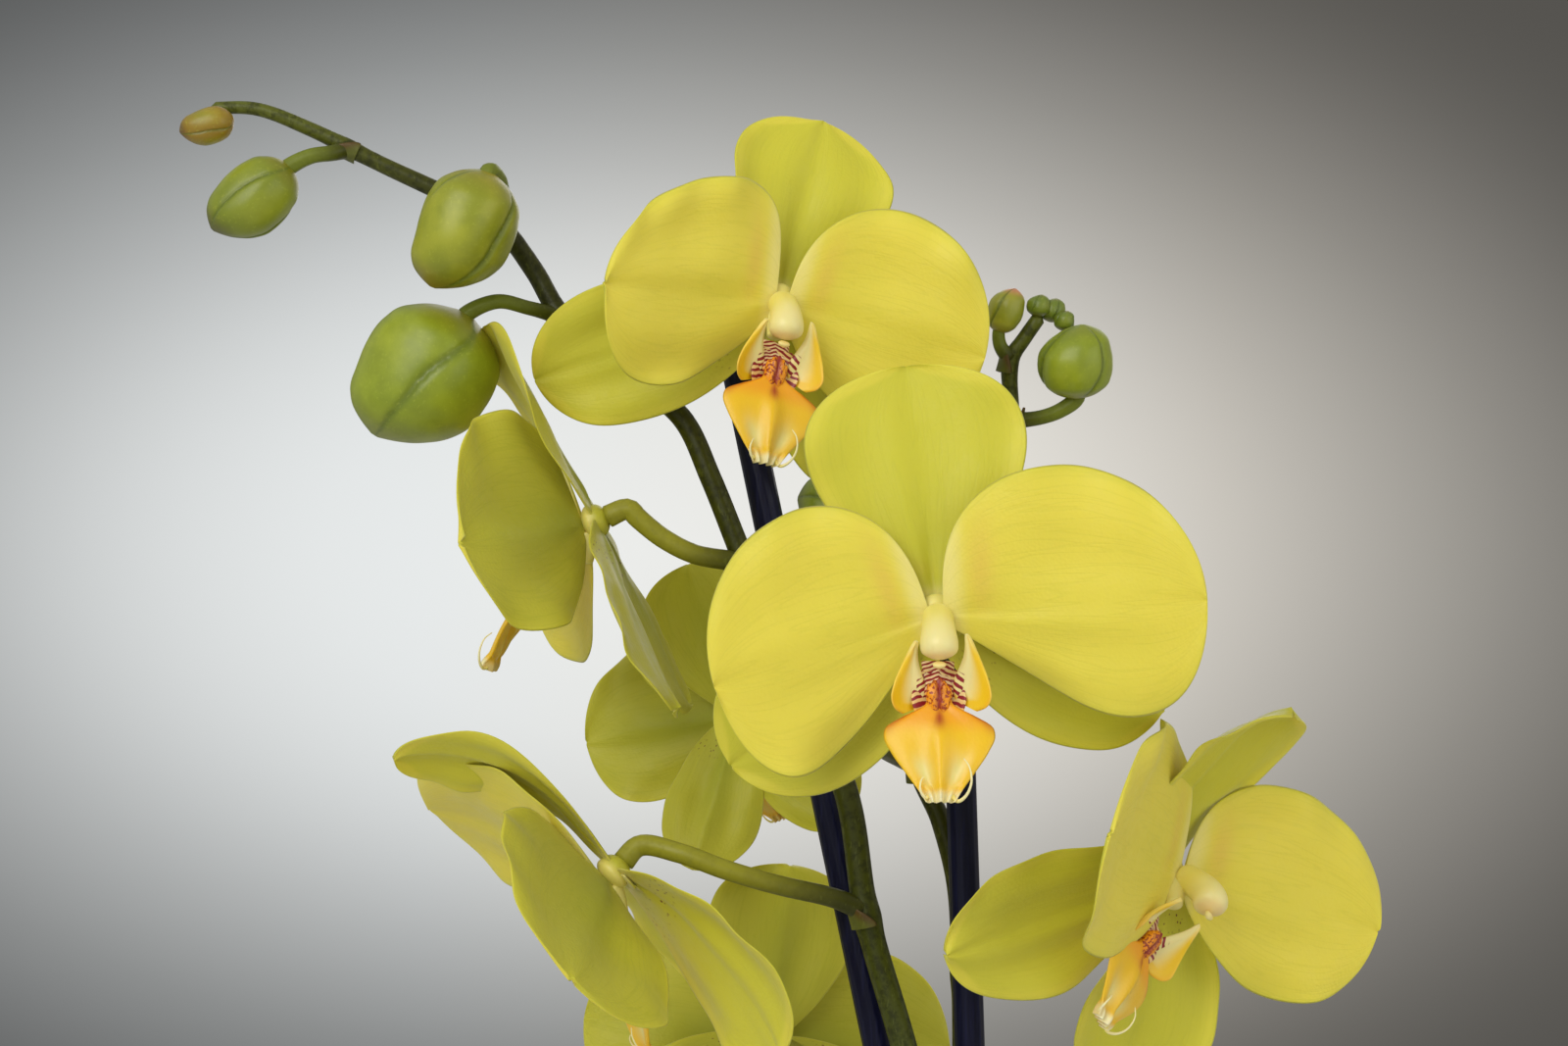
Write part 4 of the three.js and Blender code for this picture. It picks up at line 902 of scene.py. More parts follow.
def middle_lobe():
    """The lip's middle lobe: a trowel with a narrow neck and a keel along its middle, two hollows
    near the tip, a crinkled tip and two whiskers."""
    choice = settings("flower")
    lobe = LIP_LOBES["middle"]

    def surface(s, v):
        keel = 1.1 * hump(v, 0, 0.17) * ease(s, 0.36, 0.6) * (1 - 0.35 * s)
        hollows = -0.9 * (hump(v, 0.45, 0.24) + hump(v, -0.45, 0.24)) * hump(s, 0.8, 0.15)
        crinkle = 0.8 * ease(s, 0.86, 0.97) * np.cos(4 * np.pi * v)
        return keel + hollows + crinkle + 0.14 * ripple(3 * s, 2 * v, 5)

    def colour(s, v, front):
        shown = mix(linear(244, 214, 168), linear(250, 172, 14), ease(s, 0.16, 0.3) + 0 * v)
        shown = mix(shown, tuple(choice.lip), ease(s, 0.42, 0.56))
        shown = mix(shown, linear(240, 226, 140), hump(np.abs(v), 0.46, 0.24) * hump(s, 0.8, 0.11))
        shown = mix(shown, linear(176, 52, 24), 0.8 * ease(np.abs(v), 0.72, 1) * hump(s, 0.43, 0.08))
        shown = mix(shown, linear(166, 34, 16), 0.9 * hump(v, 0, 0.1) * hump(s, 0.44, 0.07))
        shown = mix(shown, linear(252, 240, 186), ease(s, 0.9, 0.96) + 0 * v)
        return mix(mix(shown, linear(222, 170, 40), 0.5 + 0 * s * v), shown, front)

    blade = blade_shell(lobe, choice.lobe_thickness / MM, 72, 80, surface, colour,
                        bars=lambda s, v: 1 - ease(s, 0.24, 0.32) + 0 * v,
                        stripe=lambda s, v: 30 * s - 1.3 * np.abs(v))
    tip = blade_points({**PLAIN_BLADE, **lobe}, np.array([[0.98]]), np.array([[0.0]]), 0.0)[0, 0]
    whiskers = [moved(tendril(side, size), np.eye(3), tip) for side, size in ((-1, 0.6), (1, 1.2))]
    return together([blade, *whiskers])


def side_lobe(name):
    """An upright side lobe, a crescent that narrows to its tip: cream inside, orange towards its
    outer margin, barred with crimson at its inner base. It is made as the left one."""
    choice = settings("flower")

    def colour(s, v, front):
        rim = ease(v, -0.1, 0.6) * (1 - 0.6 * ease(s, 0.75, 1)) + (1 - ease(s, 0.03, 0.16))
        shown = mix(tuple(choice.cream), linear(250, 206, 16), np.clip(rim, 0, 1))
        shown = mix(shown, linear(248, 180, 16), 0.6 * ease(v, 0.7, 1.0) * (1 - ease(s, 0.2, 0.6)))
        return mix(mix(shown, tuple(choice.cream), 0.45 + 0 * s * v), shown, front)

    return blade_shell(LIP_LOBES[name], choice.lobe_thickness / MM, 56, 72,
                       lambda s, v: 0.15 * ripple(3 * s, 2 * v, 8), colour,
                       bars=lambda s, v: (1 - ease(-s, -0.12, -0.06)) * (1 - ease(s, 0.36, 0.5)) * (1 - ease(v, -0.45, -0.2)),
                       stripe=lambda s, v: 9 * s + 0.6 * v)


def throat_shell():
    """The lip's base between the side lobes: a cradle, cream, with crimson bars that slant down to
    both sides."""
    choice = settings("flower")
    cream = lambda s, v, front: mix(linear(244, 212, 140), linear(250, 190, 50), ease(s, 0.6, 1) + 0 * v * front)
    return blade_shell(LIP_LOBES["throat"], choice.lobe_thickness / MM, 40, 64,
                       lambda s, v: 0.1 * ripple(3 * s, 2 * v, 6), cream,
                       bars=lambda s, v: (1 - ease(s, 0.75, 0.9)) + 0 * v,
                       stripe=lambda s, v: 6.5 * s - 1.4 * np.abs(v))


def callus_shell():
    """The callus: an ellipsoid, broad above and drawn to a point below, with a furrow along its
    middle between two raised shoulders."""
    rings, sides = 44, 56
    polar = np.linspace(0.06, np.pi - 0.06, rings)[:, None]
    turn = (2 * np.pi * np.arange(sides) / sides)[None, :]
    x, y, z = np.sin(polar) * np.cos(turn), np.cos(polar) + 0 * turn, np.sin(polar) * np.sin(turn)
    grow = 1 - 0.3 * hump(x, 0, 0.2) * ease(z, 0, 0.6) * ease(y, -0.9, -0.2) + 0.05 * ripple(4 * x, 4 * y, 3)
    points = np.stack([x * (0.78 + 0.3 * y), y, z], -1) * grow[..., None] * CALLUS["radii"] + CALLUS["at"]
    tint = mix(linear(250, 160, 10), linear(150, 24, 14), hump(x, 0, 0.26))
    return round_shell(points, tint=tint, specks=0.9 + 0 * x)


def lobe_axes(lobe):
    along = unit(np.array(lobe["along"], float))
    face = np.array(lobe["face"], float)
    face = unit(face - (face @ along) * along)
    return np.stack([along, np.cross(face, along), face], axis=1), lobe["start"]


def lip_shell():
    shells = [moved(middle_lobe(), *lobe_axes(LIP_LOBES["middle"])), callus_shell(),
              moved(throat_shell(), *lobe_axes(LIP_LOBES["throat"]))]
    for name, mirror in (("side_left", (1, 1, 1)), ("side_right", (-1, 1, 1))):
        shells.append(moved(moved(side_lobe(name), *lobe_axes(LIP_LOBES[name])), np.diag(mirror), (0, 0, 0)))
    return together(shells)


def column_shell():
    """Column, its foot and the knob where the tepals meet: round tubes, with a rounded cap over the pollen
    and a short beak below it whose section is flattened a little."""
    choice = settings("flower")
    path = with_fine_ends(through(COLUMN_LINE, 0.35), 2.0)
    share = lengths_along(path) / lengths_along(path)[-1]
    radii = knotted(share, [(0, 2.8), (0.3, 2.8), (0.6, 3.1), (0.8, 3.35), (0.93, 3.1), (1, 2.7)])
    warm = mix(tuple(choice.cream), linear(246, 230, 120), hump(share, 0.3, 0.3))
    warm = mix(warm, linear(246, 200, 130), 0.5 * hump(share, 0.97, 0.05))
    column = tube(path, radii, 48, 2.0, tint=warm[:, None, :] + np.zeros((1, 48, 1)))
    foot_path = with_fine_ends(through(FOOT_LINE, 0.4), 0.8)
    foot = tube(foot_path, even_radii(foot_path, FOOT_RADII), 28, 0.6,
                tint=mix(tuple(choice.cream), tuple(choice.sepal), 0.3 * np.ones((len(foot_path), 28))))
    t = np.linspace(0, 1, 26)
    knob_path = np.stack([0 * t, 0 * t, -KNOB_BACK + 5.4 * t], axis=1)
    knob = tube(knob_path, KNOB_RADIUS + 0.55 - 0.9 * (1 - t) ** 2, 36, 2.0,
                tint=mix(tuple(choice.back), linear(240, 226, 120), ease(t, 0.35, 0.7))[:, None, :] + np.zeros((1, 36, 1)))
    beak_path = mix((0, -7, 11.8), (0, -8.2, 11.3), t)
    beak = tube(beak_path, 1.5 - 0.8 * t, 24, 0.6, 0.7,
                tint=mix(linear(250, 226, 140), tuple(choice.cream), t)[:, None, :] + np.zeros((1, 24, 1)))
    return together([column, foot, knob, beak])


# ---------------------------------------------------------------- spikes, stalks and buds
def nearest(path, point):
    return int(np.argmin(np.linalg.norm(path - np.asarray(point, float), axis=1)))


def stalk_path(name):
    """A flower stalk's route: its own points, then the neck and back of the flower's knob."""
    axes, place = flower_axes(FLOWERS[name])
    back = place - LIFT + axes[:, 2] * (-KNOB_BACK + 1)
    neck = place - LIFT + axes[:, 2] * (-KNOB_BACK - 4)
    return through([*FLOWER_STALKS[name]["line"], neck, back], 0.8)


def stalk_shell(path, base, middle, end, low, high):
    """A stalk that flares where it leaves the spike, with six faint ribs towards the flower, and
    whose tint runs from low to high."""
    share = lengths_along(path)
    left = share[-1] - share
    radius = middle + (base - middle) * np.exp(-share / 2.2) + (end - middle) * np.exp(-left / 7.0)
    sides = 24
    turn = 2 * np.pi * np.arange(sides) / sides
    ribs = 1 + 0.05 * np.cos(6 * turn)[None, :] * np.exp(-left / 9.0)[:, None]
    tint = mix(low, high, ease(share / share[-1], 0.05, 0.6))[:, None, :] + np.zeros((1, sides, 1))
    return tube(path, radius[:, None] * ribs, sides, 0.5, tint=tint)


def bract_shell(spine, point, outward_of_stem, radius):
    """A triangular scale that clasps the spike under a stalk: a blade rolled round the stem, its
    inner face to the stem, leaning out a little towards its tip."""
    choice = settings("stem")
    at = nearest(spine, point)
    tangent = unit(spine[min(at + 2, len(spine) - 1)] - spine[max(at - 2, 0)])
    out = unit(outward_of_stem - (outward_of_stem @ tangent) * tangent)
    blade = dict(length=choice.bract_length / MM, width=radius * 4.4, rise=(0.3, 0.3), round=1, claw=0.75,
                 cup=2.7, tilt=0.02, reflex=0.12)

    def colour(s, v, front):
        edge = ease(np.abs(v) + s, 0.6, 1.3)
        return mix(mix(tuple(choice.spike), linear(118, 122, 54), 0.5 + 0 * s * v), tuple(choice.bract), edge + 0 * front)

    shell = blade_shell(blade, 0.5, 20, 32, None, colour)
    axes = np.stack([tangent, np.cross(-out, tangent), -out], axis=1)
    return moved(shell, axes, spine[at] - tangent * 3.0 + out * (radius + 0.25))


def spike_shell(name):
    """A flower spike: its own tube, swollen at the nodes, the stalks that leave it and a bract
    under each."""
    choice = settings("stem")
    spike = SPIKES[name]
    spine = through(spike["line"], 1.2)
    run = lengths_along(spine)
    radius = even_radii(spine, spike["radii"])
    stalks = [(entry["line"][0], entry["line"][1]) for entry in FLOWER_STALKS.values() if entry["spike"] == name]
    stalks += [(bud["stalk"][0], bud["stalk"][1]) for bud in BUDS.values()
               if bud["spike"] == name and bud["stalk"]]
    nodes = [(nearest(spine, p), np.subtract(q, p).astype(float)) for p, q in stalks]
    for height, side in spike["bare_nodes"]:
        nodes.append((int(np.argmin(np.abs(spine[:, 2] - height))), np.array([side, -0.3, 0.0])))
    for at, _ in nodes:
        radius = radius * (1 + choice.node_swelling * hump(run, run[at] - 1.0, 3.0))
    share = run / run[-1]
    sides = 28
    green = mix(tuple(choice.spike), linear(96, 112, 40), ease(share, 0.75, 0.2) * 0.6)
    green = mix(green, linear(120, 128, 44), 0.5 * ease(share, 0.9, 1.0))
    shells = [tube(spine, radius, sides, 1.2, tint=green[:, None, :] + np.zeros((1, sides, 1)),
                   mottle=np.ones((len(spine), sides)))]
    for at, direction in nodes:
        shells.append(bract_shell(spine, spine[at], direction, radius[at]))
    for flower, entry in FLOWER_STALKS.items():
        if entry["spike"] == name:
            shells.append(stalk_shell(stalk_path(flower), 2.5, 1.9, 2.3, tuple(choice.spike), tuple(choice.stalk)))
    for bud in BUDS.values():
        if bud["spike"] == name and bud["stalk"]:
            base = np.array(bud["base"], float)
            path = through([*bud["stalk"], base, base + unit(np.subtract(bud["tip"], base)) * 3], 0.6)
            shells.append(stalk_shell(path, 2.0, BUD_STALK_RADIUS, min(1.9, bud["radius"] * 0.35),
                                      tuple(choice.spike), linear(120, 130, 42)))
    whole = together(shells)
    whole["points"] = whole["points"] + LIFT
    for key in ("map", "front"):
        whole.pop(key, None)
    return whole


BUD_OUTLINE = [(0, 0.16), (0.04, 0.42), (0.14, 0.76), (0.3, 0.95), (0.48, 1), (0.68, 0.92), (0.84, 0.7), (0.93, 0.44),
               (0.975, 0.22), (1, 0.06)]


def bud_shell(bud, seed, low, high):
    """A closed bud: a knotted outline from stalk to beak. Round it, three sepals overlap: from one
    seam to the next the radius grows by a share, drops back at the seam, and dips there."""
    base, tip = np.array(bud["base"], float), np.array(bud["tip"], float)
    axis = unit(tip - base)
    height = np.linalg.norm(tip - base)
    side = unit(np.cross(axis, [0.0, 1.0, 0.0]))
    over = np.cross(axis, side)
    rings, sides = 72, 120
    t = (0.5 - 0.5 * np.cos(np.linspace(0.02, np.pi - 0.02, rings)))[:, None]
    turn = (2 * np.pi * np.arange(sides) / sides)[None, :]
    saw = (3 * (turn / (2 * np.pi) - 0.09 - 0.13 * seed - 0.1 * np.sin(2.4 * t))) % 1
    near = np.minimum(saw, 1 - saw)
    full = ease(t, 0.03, 0.25)
    radius = bud["radius"] * knotted(t, BUD_OUTLINE)
    radius = radius * (1 + full * (0.07 * (saw - 0.5) - 0.05 * hump(near, 0, 0.035) + 0.05 * np.sin(np.pi * saw)))
    radius = radius * (1 + 0.02 * ripple(np.cos(turn) * 1.5, t * 2, seed))
    lean = -0.2 * bud["radius"] * ease(t, 0.6, 1.0)
    rings_xyz = (base + height * t[..., None] * axis + (radius * np.cos(turn) + lean)[..., None] * side
                 + (radius * np.sin(turn))[..., None] * over)
    tint = mix(low, high, ease(t, 0.8, 1.0) + 0 * turn)
    tint = mix(tint, linear(150, 116, 34), 0.4 * (1 - ease(t, 0.02, 0.22)) + 0 * turn)
    # Painted shade: darker green along each seam, in the crease where the radius dips.
    tint = mix(tint, linear(84, 100, 14), 0.7 * hump(near, 0, 0.04) + 0 * t)
    # Painted highlight: a paler band on the bulge of each sepal, round the bud's widest part.
    tint = mix(tint, linear(182, 188, 50), 0.35 * np.sin(np.pi * saw) ** 2 * hump(t, 0.45, 0.3))
    shell = round_shell(rings_xyz, tint=tint)
    shell["points"] = shell["points"] + LIFT
    return shell


# ---------------------------------------------------------------- leaves, crown and roots
def leaf_shell(leaf, seed):
    """A leaf: a thick blade, thinner towards its margin, with a furrow along its middle and a keel
    beneath, a few long waves along its edges."""
    choice = settings("leaf")
    edge = choice.edge_thickness / MM
    blade = {**PLAIN_BLADE, **LEAF_SHAPE, **leaf}

    s, v, lift = blade_grid(110, 96)
    thick = edge + (LEAF_THICKNESS + 1.4 - edge) * hump(v, 0, 0.28) * (1 - 0.55 * s)
    furrow = -1.5 * hump(v, 0, 0.1) * (1 - 0.7 * s) * (lift > 0)
    waves = 1.6 * np.abs(v) ** 3 * np.sin(7 * s + seed * 2.1 + np.sign(v)) * ease(s, 0.1, 0.5)
    mid = waves + 0.5 * ripple(4 * s, v, seed) * ease(s, 0.1, 0.4)
    rings = blade_points(blade, s, v, lift * thick / 2 + furrow * 0.5 + mid)
    front = (0.5 + 0.5 * np.clip(lift * 1.5, -1, 1)) + 0 * s
    upper = mix(tuple(choice.leaf), linear(104, 128, 52), 0.5 * hump(v, 0, 0.06) + 0.6 * (1 - ease(s, 0, 0.12)))
    under = mix(linear(84, 104, 52), linear(96, 92, 58), hump(v, 0, 0.3) * (1 - s))
    maps = np.stack(np.broadcast_arrays(s, 0.5 + 0.5 * v), axis=-1)
    shell = flat_shell(rings, map=maps, front=front, tint=mix(under, upper, front))
    heel = LEAF_THICKNESS / 2 * math.sin(-leaf["tilt"])
    shell = turned(shell, leaf["at"], 0, CROWN_RADII[0] + SEAT_GAP + heel - 2.0)
    return moved(shell, np.eye(3), [*CROWN_CENTRE, leaf["base"] + LEAF_THICKNESS + BARK_TOP])


def crown_shell():
    """The crown: a flattened post of leaf sheaths that overlap to left and right in turn, each
    swelling to a lip and stepping in above it."""
    z = np.linspace(CROWN_LOW[2], CROWN_HIGH[2], 120)[:, None]
    turn = (2 * np.pi * np.arange(64) / 64)[None, :]
    height = z - BARK_TOP
    share = (z - CROWN_LOW[2]) / (CROWN_HIGH[2] - CROWN_LOW[2])
    step = (height / 9 + 0.5 * (np.cos(turn) > 0) + 0.35 * np.abs(np.sin(turn))) % 1
    swell = 0.94 + 0.08 * step ** 2 * ease(height, -2, 6)
    taper = np.interp(share, [0, 0.02, 0.1, 0.75, 0.92, 0.985, 1], [0.5, 0.62, 0.9, 1, 0.74, 0.36, 0.1])
    r = swell * taper
    points = np.stack(np.broadcast_arrays(CROWN_CENTRE[0] + CROWN_RADII[0] * r * np.cos(turn),
                                          CROWN_CENTRE[1] + CROWN_RADII[1] * r * np.sin(turn), z + 0 * turn), -1)
    tint = mix(linear(120, 132, 66), linear(74, 104, 40), ease(height, 0, 30) + 0 * turn)
    tint = mix(tint, linear(140, 120, 76), 0.6 * ease(step, 0.86, 1.0))
    return round_shell(points, tint=tint, map=np.stack([share + 0 * turn, turn / (2 * np.pi) + 0 * z], -1))


def root_shell(line, seed):
    """An aerial root: a tube of uneven radius, silvery, its last stretch green."""
    path = with_fine_ends(through(line, 0.8), 1.6)
    run = lengths_along(path)
    share = (run / run[-1])[:, None]
    turn = (2 * np.pi * np.arange(28) / 28)[None, :]
    radius = 2.4 * (1 - 0.22 * share) * (1 + 0.06 * ripple(run[:, None] / 6, np.cos(turn), seed))
    tip = ease(run[-1] - run, 12, 3)[:, None] + 0 * turn
    tint = mix(tuple(settings("leaf").root), linear(122, 150, 70), tip)
    shell = tube(path, radius, 28, 1.8, tint=tint)
    shell["points"] = shell["points"] + LIFT
    return shell


# ---------------------------------------------------------------- pot, bark, stakes and clips
def lathe(profile, sides, **paint):
    """A profile of (radius, height) turned about z, closed on the axis at both ends."""
    profile = np.array(profile, float)
    turn = (2 * np.pi * np.arange(sides) / sides)[None, :]
    rings = np.stack([profile[:, :1] * np.cos(turn), profile[:, :1] * np.sin(turn), profile[:, 1:] + 0 * turn], -1)
    return round_shell(rings, **{key: np.asarray(value)[:, None] + np.zeros((1, sides) + np.shape(value)[1:])
                                 for key, value in paint.items()})


def arc(centre, radius, start, end, count=8):
    """Points on part of a circle, from one angle to another in degrees."""
    a = np.radians(np.linspace(start, end, count))
    return [(centre[0] + radius * math.cos(x), centre[1] + radius * math.sin(x)) for x in a]


def pot_shell():
    """The pot: a tapered wall with a rolled rim, a foot ring round a shallow recess, and a floor."""
    choice = settings("pot")
    foot, wall, floor = choice.foot_radius / MM, choice.wall / MM, choice.floor / MM
    slope = (POT_TOP_RADIUS - foot) / POT_HEIGHT
    rim = wall / 2
    outer = [(foot + slope * z, z) for z in np.linspace(2, POT_HEIGHT - rim, 40)]
    inner = [(foot + slope * z - wall, z) for z in np.linspace(POT_HEIGHT - rim, floor + 3, 40)]
    top = POT_HEIGHT - rim
    profile = [(0.4, 1.4), (foot - 8, 1.4), *arc((foot - 7, 1.0), 1.0, 180, 270, 6),
               *arc((foot - 1.6, 1.6), 1.6, -90, 0, 8), *outer,
               *arc((foot + slope * top - rim, top), rim, 0, 180, 16)[1:-1], *inner,
               *arc((foot + slope * floor - wall - 3, floor + 3), 3, 0, -90, 8), (0.4, floor)]
    heights = np.array([z for _, z in profile])
    radii = np.array([r for r, _ in profile])
    bare = ((heights < 1.2) & (radii < foot)).astype(float)
    tint = mix(tuple(choice.glaze), linear(196, 168, 134), bare)
    return lathe(profile, 144, tint=tint, bare=bare)


def bark_bed():
    """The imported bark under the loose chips: a plug that fills the pot, its top uneven."""
    choice = settings("pot")
    foot, wall, floor = choice.foot_radius / MM, choice.wall / MM, choice.floor / MM
    slope = (POT_TOP_RADIUS - foot) / POT_HEIGHT
    inside = lambda z: foot + slope * z - wall - SEAT_GAP
    low, top = floor + SEAT_GAP + 3, BARK_TOP - 5
    side = [(inside(z) - 0.2, z) for z in np.linspace(low, top - 1, 12)]
    profile = [(0.5, low), (inside(low) - 4, low), *side, *[(r, top) for r in np.linspace(inside(top) - 2, 0.5, 30)]]
    shell = lathe(profile, 96, tint=mix(linear(70, 46, 30), linear(52, 36, 24), np.linspace(0, 1, len(profile))))
    p = shell["points"]
    p[:, 2] += np.where(p[:, 2] > top - 0.5, 1.6 * ripple(p[:, 0] / 6, p[:, 1] / 6, 2), 0)
    return shell


def bark_chips():
    """Loose chips: rounded boxes (a sphere's directions raised to the power 0.35) of drawn sizes and
    turns, laid in a sunflower pattern, all worked out as one array."""
    choice = settings("pot")
    count = choice.chips
    draw = np.random.default_rng(41)
    polar = np.array([0.5, 1.15, np.pi - 1.15, np.pi - 0.5])[:, None]
    turn = (2 * np.pi * np.arange(8) / 8)[None, :]
    ball = np.stack([np.sin(polar) * np.cos(turn), np.sin(polar) * np.sin(turn), np.cos(polar) + 0 * turn], -1)
    base = round_shell(ball)
    directions = base["points"]
    box = np.sign(directions) * np.abs(directions) ** 0.4
    sizes = np.stack([draw.uniform(3.5, 8, count), draw.uniform(2.6, 5, count), draw.uniform(1.2, 2.6, count)], 1)
    shapes = box[None] * sizes[:, None, :] * (1 + 0.16 * draw.standard_normal((count, len(box), 1)))
    tip, lean, spin = draw.normal(0, 0.35, count), draw.normal(0, 0.35, count), draw.uniform(0, np.pi, count)
    zero, one = np.zeros(count), np.ones(count)
    about_x = np.array([[one, zero, zero], [zero, np.cos(tip), -np.sin(tip)], [zero, np.sin(tip), np.cos(tip)]])
    about_y = np.array([[np.cos(lean), zero, np.sin(lean)], [zero, one, zero], [-np.sin(lean), zero, np.cos(lean)]])
    about_z = np.array([[np.cos(spin), -np.sin(spin), zero], [np.sin(spin), np.cos(spin), zero], [zero, zero, one]])
    turns = np.einsum("ijn,jkn,kln->nil", about_z, about_y, about_x)
    number = np.arange(count)
    reach = POT_TOP_RADIUS - choice.wall / MM - 7
    radius = reach * np.sqrt((number + 0.5) / count) * draw.uniform(0.94, 1.0, count)
    angle = number * 2.399963 + draw.normal(0, 0.1, count)
    centres = np.stack([radius * np.cos(angle), radius * np.sin(angle), BARK_TOP - 2.6 + draw.normal(0, 1.3, count)], 1)
    points = np.einsum("nij,nvj->nvi", turns, shapes) + centres[:, None, :]
    bark = mix(tuple(choice.bark), linear(64, 44, 30), draw.uniform(0, 1, count))
    bark = mix(bark, linear(140, 98, 62), draw.uniform(0, 0.5, count))
    starts = (number * len(box))[:, None, None]
    return dict(points=points.reshape(-1, 3), quads=(base["quads"][None] + starts).reshape(-1, 4),
                tris=(base["tris"][None] + starts).reshape(-1, 3), tint=np.repeat(bark, len(box), axis=0))


def stake_line(stake):
    low, high = np.array(stake["low"], float), np.array(stake["high"], float)
    lean = (high - low) / (high - low)[2]
    return low, lean


def stake_shell(stake):
    """A straight stake, finely fluted, with rounded ends."""
    low, lean = stake_line(stake)
    foot = low + lean * (STAKE_FOOT - BARK_TOP)
    top = low + lean * stake["top"]
    t = np.linspace(0, 1, 160)[:, None]
    path = with_fine_ends(foot * (1 - t) + top * t, 1.4)
    sides = 60
    turn = 2 * np.pi * np.arange(sides) / sides
    flutes = STAKE_RADIUS * (1 - 0.012 + 0.012 * np.cos(15 * turn))[None, :] + np.zeros((len(path), 1))
    shell = tube(path, flutes, sides, 1.4, tint=mix(tuple(settings("pot").stake), (0, 0, 0), np.zeros((len(path), sides))))
    shell["points"] = shell["points"] + LIFT
    return shell


def ring_shell(centre, axis, hole, wall, height):
    """A moulded ring: a rounded rectangle, cos and sin raised to the power 0.5, swept about an axis."""
    side = unit(np.cross(axis, [0.0, 1.0, 0.0]))
    over = np.cross(axis, side)
    turn = (2 * np.pi * np.arange(48) / 48)[:, None]
    section = (2 * np.pi * np.arange(20) / 20)[None, :]
    out = hole + wall / 2 + wall / 2 * np.sign(np.cos(section)) * np.abs(np.cos(section)) ** 0.5
    up = height / 2 * np.sign(np.sin(section)) * np.abs(np.sin(section)) ** 0.5
    points = (centre + (out * np.cos(turn))[..., None] * side + (out * np.sin(turn))[..., None] * over
              + (up + 0 * turn)[..., None] * axis)
    quads = ring_quads(48, 20)
    i = np.arange(20)
    j = (i + 1) % 20
    closing = np.stack([47 * 20 + i, 47 * 20 + j, j, i], 1)
    return outward(dict(points=points.reshape(-1, 3), quads=np.vstack([quads, closing]),
                        tris=np.zeros((0, 3), int)))


def clip_shell(clip):
    """A clip: one ring round the stake, one round the spike, and a waist between them."""
    low, lean = stake_line(STAKES[clip["stake"]])
    axis = unit(lean)
    on_stake = low + lean * clip["height"]
    spine = through(SPIKES[clip["spike"]]["line"], 0.5)
    at = int(np.argmin(np.abs(spine[:, 2] - clip["height"])))
    on_spike = spine[at]
    radius = even_radii(spine, SPIKES[clip["spike"]]["radii"])[at]
    t = np.linspace(0.12, 0.88, 14)[:, None]
    waist_path = on_stake * (1 - t) + on_spike * t
    waist = tube(waist_path, CLIP_HEIGHT * 0.36 * (1 - 0.35 * np.sin(np.pi * (t - 0.12) / 0.76)), 20, 0.0, 0.3)
    shell = together([ring_shell(on_stake, axis, STAKE_RADIUS + SEAT_GAP, CLIP_WALL, CLIP_HEIGHT),
                      ring_shell(on_spike, axis, radius + 2 * SEAT_GAP, CLIP_WALL - SEAT_GAP, CLIP_HEIGHT), waist])
    shell["points"] = shell["points"] + LIFT
    return shell


# ---------------------------------------------------------------- operators
class PieceOperator:
    """What every operator of this file shares."""
    bl_options = {"REGISTER", "UNDO"}

    def execute(self, context):
        self.build()
        return {"FINISHED"}


